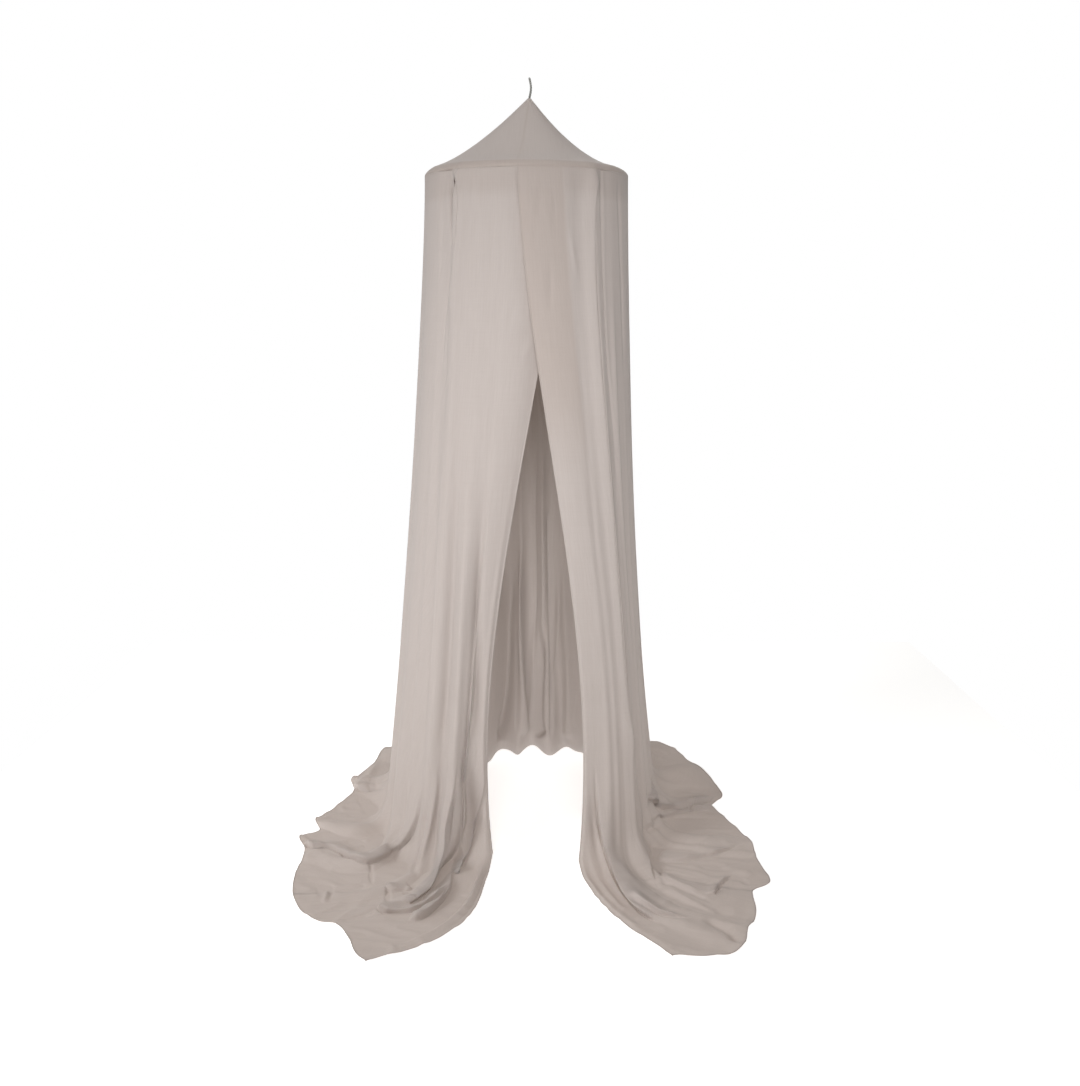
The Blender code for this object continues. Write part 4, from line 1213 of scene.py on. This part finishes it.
@dataclass
class Roof:
    """The hollow cone of cloth, sewn from gores, with a casing for the hoop at its rim."""

    node: str = "roof"
    columns: int = 240
    rings: int = 60
    flat: tuple[float, float] = (0.64, 0.64)
    area: float = 0.255
    edge_rings: int = 14
    edge_drop: float = 0.0160    # of the rounded rim that goes over the rod
    edge_start: float = 0.92     # share of the radius at which it begins
    edge_first: float = 0.08     # share of the edge's quarter turn at its first ring
    edge_curve: tuple[float, float] = (1.8, 0.7)
    band: float = 0.003          # height of the straight band under the rounding
    curve: float = 1.54          # power of the cone's hollow side, 1 is straight
    curve_side: float = 0.12     # more hollow at the right, less at the left
    sag: float = 0.0025          # between the gores' seams
    gores: int = 4
    pucker: float = 0.0004       # small wrinkles at the apex and the rim
    waves: tuple[tuple[int, float, float], ...] = ((17, 1.3, 1.0), (29, 4.0, 0.7), (43, 0.0, 0.5))
    puckered: tuple[tuple[float, float, float], ...] = ((0.9, 0.09, 0.35), (0.12, 0.10, 0.5))
    seam_turn: float = 4.0       # of the gores' front seam
    seam_mm: float = 8.0
    casing_start: float = 0.945  # share of the radius at which the casing's stitching lies
    casing_fade: float = 0.01
    casing_painted_shade: float = 0.8    # shares of the painted shade of two-layer cloth on the casing and on the seams
    seam_painted_shade: float = 0.6
    first_turn: float = 4.0      # from here on, one turn round meets each outer cloth once
    rod_room: float = 0.0003     # how far the cloth may go in before it meets the hoop
    follow: float = 0.2          # share of the radius over which the rim takes the skirt's folds
    flat_radius: float = 0.004   # of the blunt tip under the loop
    probe_row: int = 20          # a ring and column that face outwards

    def height(self, share: np.ndarray, around: np.ndarray) -> np.ndarray:
        """Return the height above the floor at a share of the rim's radius."""
        curve = self.curve + self.curve_side * np.cos(around)
        edge = np.clip((share - self.edge_start) / (1 - self.edge_start), 0, 1)
        rise = APEX_HEIGHT - SEAM_HEIGHT - self.edge_drop
        inner, outer = self.edge_curve
        return (SEAM_HEIGHT + self.band + (self.edge_drop - self.band) * (1 - edge ** inner) ** outer
                + rise * (1 - share) ** curve)

    def build(self, material: bpy.types.Material, origin: np.ndarray) -> bpy.types.Object:
        """Make the roof's cloth.

        Args:
            material: The muslin.
            origin: The floor point under the hoop's centre.

        Returns:
            The finished piece.
        """
        turns = np.linspace(0, math.tau, self.columns + 1)
        inner = np.linspace(0, self.edge_start, self.rings)
        quarter = np.linspace(self.edge_first, 1, self.edge_rings) * math.pi / 2
        edge = self.edge_start + (1 - self.edge_start) * np.sin(quarter)
        share = np.concatenate([inner, edge, [1.0]])[:, None]
        around = turns[None, :] + 0 * share
        share = share + 0 * turns[None, :]
        top = self.height(np.array(self.flat_radius / HOOP_RADIUS), around)
        height = np.minimum(self.height(share, around), top)
        height[-1] = SEAM_HEIGHT
        loose = 4 * share * (1 - share)
        height -= self.sag * loose * (1 + np.cos(self.gores * around)) / 2
        height -= self.wrinkles(share, around)
        turn = self.first_turn + (-90.0 - np.degrees(around) - self.first_turn) % 360.0
        folds = FallSurface(turn).fold_height(turn, 0 * turn)
        over_rod = np.maximum(folds, -self.rod_room)
        radius = HOOP_RADIUS * share + over_rod * smooth_step((share - 1 + self.follow) / self.follow)
        radius[-1] += (folds - over_rod)[-1]
        points = np.stack([radius * np.cos(around) + APEX_OFFSET_X * (1 - share) ** 2,
                           radius * np.sin(around), height], -1)
        run = running_length(points)
        cloth = np.stack([run * np.cos(around), run * np.sin(around)], -1)
        piece = sheet_from_grid("roof_cloth", points + origin, cloth, self.two_layer_painted_shade(share, around),
                                self.probe_row)
        close_round(piece)
        apply_all(piece)
        dress(piece, material, "muslin", self.node)
        return piece

    def wrinkles(self, share: np.ndarray, around: np.ndarray) -> np.ndarray:
        """Return the drops of the small radial wrinkles at the apex and the rim."""
        wave = sum(weight * np.sin(count * around + phase) for count, phase, weight in self.waves)
        near = sum(weight * np.exp(-((share - place) / width) ** 2)
                   for place, width, weight in self.puckered)
        return self.pucker * wave * near

    def two_layer_painted_shade(self, share: np.ndarray, around: np.ndarray) -> np.ndarray:
        """Return the share of painted shade of two-layer cloth: the casing at the rim and the gores' seams.
        """
        casing = smooth_step((share - self.casing_start) / self.casing_fade)
        first = math.radians(-90 - self.seam_turn)
        seam_way = np.abs(np.sin(self.gores * (around - first) / 2)) * share * HOOP_RADIUS
        seam = 1.0 - smooth_step(seam_way / (self.seam_mm * MILLIMETRE))
        return np.maximum(self.casing_painted_shade * casing, self.seam_painted_shade * seam)


def close_round(piece: bpy.types.Object) -> None:
    """Join the first and last columns of a turned sheet, and its pole."""
    deselect_all()
    bpy.context.view_layer.objects.active = piece
    piece.select_set(True)
    bpy.ops.object.mode_set(mode="EDIT")
    bpy.ops.mesh.select_all(action="SELECT")
    bpy.ops.mesh.remove_doubles(threshold=0.00001)
    bpy.ops.object.mode_set(mode="OBJECT")
    deselect_all()


@dataclass
class Hoop:
    """The round rod inside the seam of roof and skirt."""

    node: str = "hoop"
    rod_radius: float = 0.004
    inset: float = 0.0062        # of the rod's middle from the skirt
    rise: float = 0.0045         # and above the seam
    round_steps: int = 144
    rod_steps: int = 16

    def build(self, material: bpy.types.Material, origin: np.ndarray) -> bpy.types.Object:
        """Make the rod.

        Args:
            material: Its coating.
            origin: The floor point under the hoop's centre.

        Returns:
            The finished piece.
        """
        deselect_all()
        place = Vector(origin) + Vector((0, 0, SEAM_HEIGHT + self.rise))
        bpy.ops.mesh.primitive_torus_add(
            major_segments=self.round_steps, minor_segments=self.rod_steps,
            major_radius=HOOP_RADIUS - self.inset, minor_radius=self.rod_radius, location=place)
        piece = bpy.context.active_object
        piece.name = piece.data.name = "hoop_rod"
        piece.data.shade_smooth()
        apply_all(piece)
        dress(piece, material, "hoop_rod", self.node)
        return piece


@dataclass
class HangingLoop:
    """The cord loop that stands on the apex, pulled taut by its hook, laid in two plies."""

    node: str = "hanging_loop"
    cord_radius: float = 0.0025
    half_width: float = 0.0085   # of the loop, to the cord's middle
    seat_drop: float = 0.0041    # from the apex to the blunt tip on which it stands
    lean: float = 0.0036         # to the right at half height
    plies: int = 2
    ply_swell: float = 1.12      # the plies press into each other
    twist_length: float = 0.007
    steps: int = 260

    def build(self, material: bpy.types.Material, origin: np.ndarray) -> bpy.types.Object:
        """Make the twisted cord.

        Args:
            material: Its cotton.
            origin: The floor point under the hoop's centre.

        Returns:
            The finished piece.
        """
        centre, forward, side = self.route()
        length = np.linalg.norm(np.roll(centre, -1, axis=0) - centre, axis=1).sum()
        turns = round(length / self.twist_length)
        ply_radius = self.cord_radius / 2
        plies = []
        for ply in range(self.plies):
            angle = math.tau * (np.arange(self.steps) * turns / self.steps + ply / self.plies)
            up = np.cross(forward, side)
            way = side * np.cos(angle)[:, None] + up * np.sin(angle)[:, None]
            plies.append(self.sweep(centre + way * ply_radius, ply_radius * self.ply_swell, origin))
        deselect_all()
        for ply in plies:
            ply.select_set(True)
        bpy.context.view_layer.objects.active = plies[0]
        bpy.ops.object.join()
        piece = bpy.context.active_object
        piece.name = piece.data.name = "hanging_loop_cord"
        apply_all(piece)
        dress(piece, material, "loop_cord", self.node)
        return piece

    def route(self) -> tuple[np.ndarray, np.ndarray, np.ndarray]:
        """Return the loop's centre line, its directions and its sideways directions."""
        low = APEX_HEIGHT - self.seat_drop + self.cord_radius
        high = LOOP_TOP - self.cord_radius
        straight = high - low - 2 * self.half_width
        arc = math.pi * self.half_width
        run = np.arange(self.steps) / self.steps * (2 * straight + 2 * arc)
        over = np.clip((run - straight) / self.half_width, 0, math.pi)
        under = np.clip((run - 2 * straight - arc) / self.half_width, 0, math.pi)
        rise = np.clip(run, 0, straight) - np.clip(run - straight - arc, 0, straight)
        side = self.half_width * np.cos(over) * np.cos(under)
        height = low + rise + self.half_width * (1 + np.sin(over) - np.sin(under))
        sway = self.lean * np.sin(math.pi * (height - low) / (high - low))
        centre = np.stack([APEX_OFFSET_X + sway, side, height], -1)
        forward = unit(np.roll(centre, -1, axis=0) - np.roll(centre, 1, axis=0))
        across = unit(np.cross(forward, np.array([1.0, 0.0, 0.0])))
        return centre, forward, across

    def sweep(self, route: np.ndarray, radius: float, origin: np.ndarray) -> bpy.types.Object:
        """Return one ply as a closed tube along its route."""
        deselect_all()
        bpy.ops.curve.primitive_bezier_circle_add()
        ply = bpy.context.active_object
        curve = ply.data
        curve.splines.clear()
        spline = curve.splines.new("POLY")
        spline.points.add(len(route) - 1)
        for point, place in zip(spline.points, route + origin):
            point.co = (*place, 1.0)
        spline.use_cyclic_u = True
        curve.dimensions = "3D"
        curve.bevel_depth = radius
        curve.bevel_resolution = 2
        bpy.ops.object.convert(target="MESH")
        ply = bpy.context.active_object
        ply.data.shade_smooth()
        return ply


@dataclass(frozen=True)
class Softbox:
    """A soft square light, with its place and aim over the floor point under the hoop's centre."""

    name: str
    place: tuple[float, float, float]
    aim: tuple[float, float, float]
    size: float
    watts: float
    spread_deg: float


SOFTBOXES = (
    Softbox("key_softbox", (-3.3, -2.5, 2.9), (-0.1, -0.2, 0.2), 2.0, 20.5, 80.0),
    Softbox("front_softbox", (0.0, -3.7, 2.0), (0.08, -0.1, 1.0), 1.2, 8.6, 46.0),
    Softbox("top_softbox", (1.6, -0.8, 2.9), (0.05, 0.0, 1.7), 1.0, 2.8, 90.0),
    Softbox("left_softbox", (-3.2, 0.3, 0.9), (-0.25, 0.0, 0.6), 1.6, 9.0, 110.0),
)


class Studio:
    """The pale floor, the soft light and the camera."""

    floor_half = 1.5
    floor_colour = "f4f3f1"
    floor_glow = 0.66            # throws soft light up at the cloth
    around_strength = 0.27
    around_colour = (1.0, 0.97, 0.94, 1.0)
    white = (1.0, 1.0, 1.0, 1.0)

    def __init__(self, origin: np.ndarray) -> None:
        """Keep the floor point under the hoop's centre."""
        self.origin = Vector(origin)

    def build(self) -> None:
        """Make the floor, the lights, the world and the camera."""
        self.lay_floor()
        for softbox in SOFTBOXES:
            self.add_light(softbox)
        self.light_world()
        self.place_camera()
        bpy.context.scene.view_settings.view_transform = "Standard"

    def lay_floor(self) -> None:
        """Make the floor, matte and nearly white."""
        deselect_all()
        bpy.ops.mesh.primitive_plane_add(size=2 * self.floor_half, location=self.origin)
        floor = bpy.context.active_object
        floor.name = "studio_floor"
        net = NodeTree(bpy.data.materials.new("matte pale floor"))
        shader = net.add("ShaderNodeBsdfPrincipled", inputs={
            "Base Color": linear_colour(self.floor_colour), "Roughness": 0.9,
            "Emission Color": self.white, "Emission Strength": self.floor_glow})
        floor.data.materials.append(net.finish(shader))

    def add_light(self, softbox: Softbox) -> None:
        """Add a softbox, turned to its aim."""
        data = bpy.data.lights.new(softbox.name, "AREA")
        data.size, data.energy, data.spread = softbox.size, softbox.watts, math.radians(softbox.spread_deg)
        light = bpy.data.objects.new(softbox.name, data)
        bpy.context.scene.collection.objects.link(light)
        way = Vector(softbox.aim) - Vector(softbox.place)
        light.location = self.origin + Vector(softbox.place)
        light.rotation_euler = way.to_track_quat("-Z", "Y").to_euler()

    def light_world(self) -> None:
        """Light the scene from all round, and show white behind it."""
        net = NodeTree(bpy.data.worlds.new("studio"))
        around = net.add("ShaderNodeBackground", inputs={
            "Strength": self.around_strength, "Color": self.around_colour})
        behind = net.add("ShaderNodeBackground", inputs={"Strength": 1.0, "Color": self.white})
        seen = net.add("ShaderNodeLightPath").outputs["Is Camera Ray"]
        mix = net.add("ShaderNodeMixShader", inputs={0: seen, 1: around.outputs[0], 2: behind.outputs[0]})
        bpy.context.scene.world = net.finish(mix, "ShaderNodeOutputWorld")

    def place_camera(self) -> None:
        """Put the camera where the photograph was taken."""
        data = bpy.data.cameras.new("camera")
        data.sensor_width = SENSOR_WIDTH
        data.lens = FOCAL_PIXELS * SENSOR_WIDTH / max(PHOTO_WIDTH, PHOTO_HEIGHT)
        camera = bpy.data.objects.new("camera", data)
        bpy.context.scene.collection.objects.link(camera)
        camera.location = self.origin + Vector((CAMERA_SIDE, -CAMERA_DISTANCE, CAMERA_HEIGHT))
        camera.rotation_euler = (math.radians(90 - CAMERA_PITCH_DEG), 0, 0)
        bpy.context.scene.camera = camera


def main() -> None:
    """Build the canopy's pieces in order and log each of them."""
    logging.basicConfig(level=logging.INFO, format="%(message)s")
    origin = floor_origin()
    LOG.info("floor under the hoop at %s", origin.round(4))
    muslin = MUSLIN.build()
    panels = [
        Panel("left_front_panel", -20.0, 41.5, 240, (0.44, 2.40), 0.50, lap_back=16.0),
        Panel("back_panel", 41.0, 318.0, 388, (2.05, 2.30), 3.10, rows=240, crowding=2.0),
        Panel("right_front_panel", 317.5, 364.0, 240, (0.36, 2.35), 0.42, lap_forward=340.0),
    ]
    for panel in panels:
        panel.lay_out()
    tracer = CreaseTracer(panels)
    creases = [traced for traced in map(tracer.trace, CREASES) if traced]
    for panel in panels:
        panel.press(creases)
        panel.build(muslin, origin)
    Roof().build(muslin, origin)
    Hoop().build(CoatedRod().build(), origin)
    HangingLoop().build(TwistedCord().build(), origin)
    Studio(origin).build()
    bpy.context.view_layer.update()


if __name__ == "__main__":
    main()
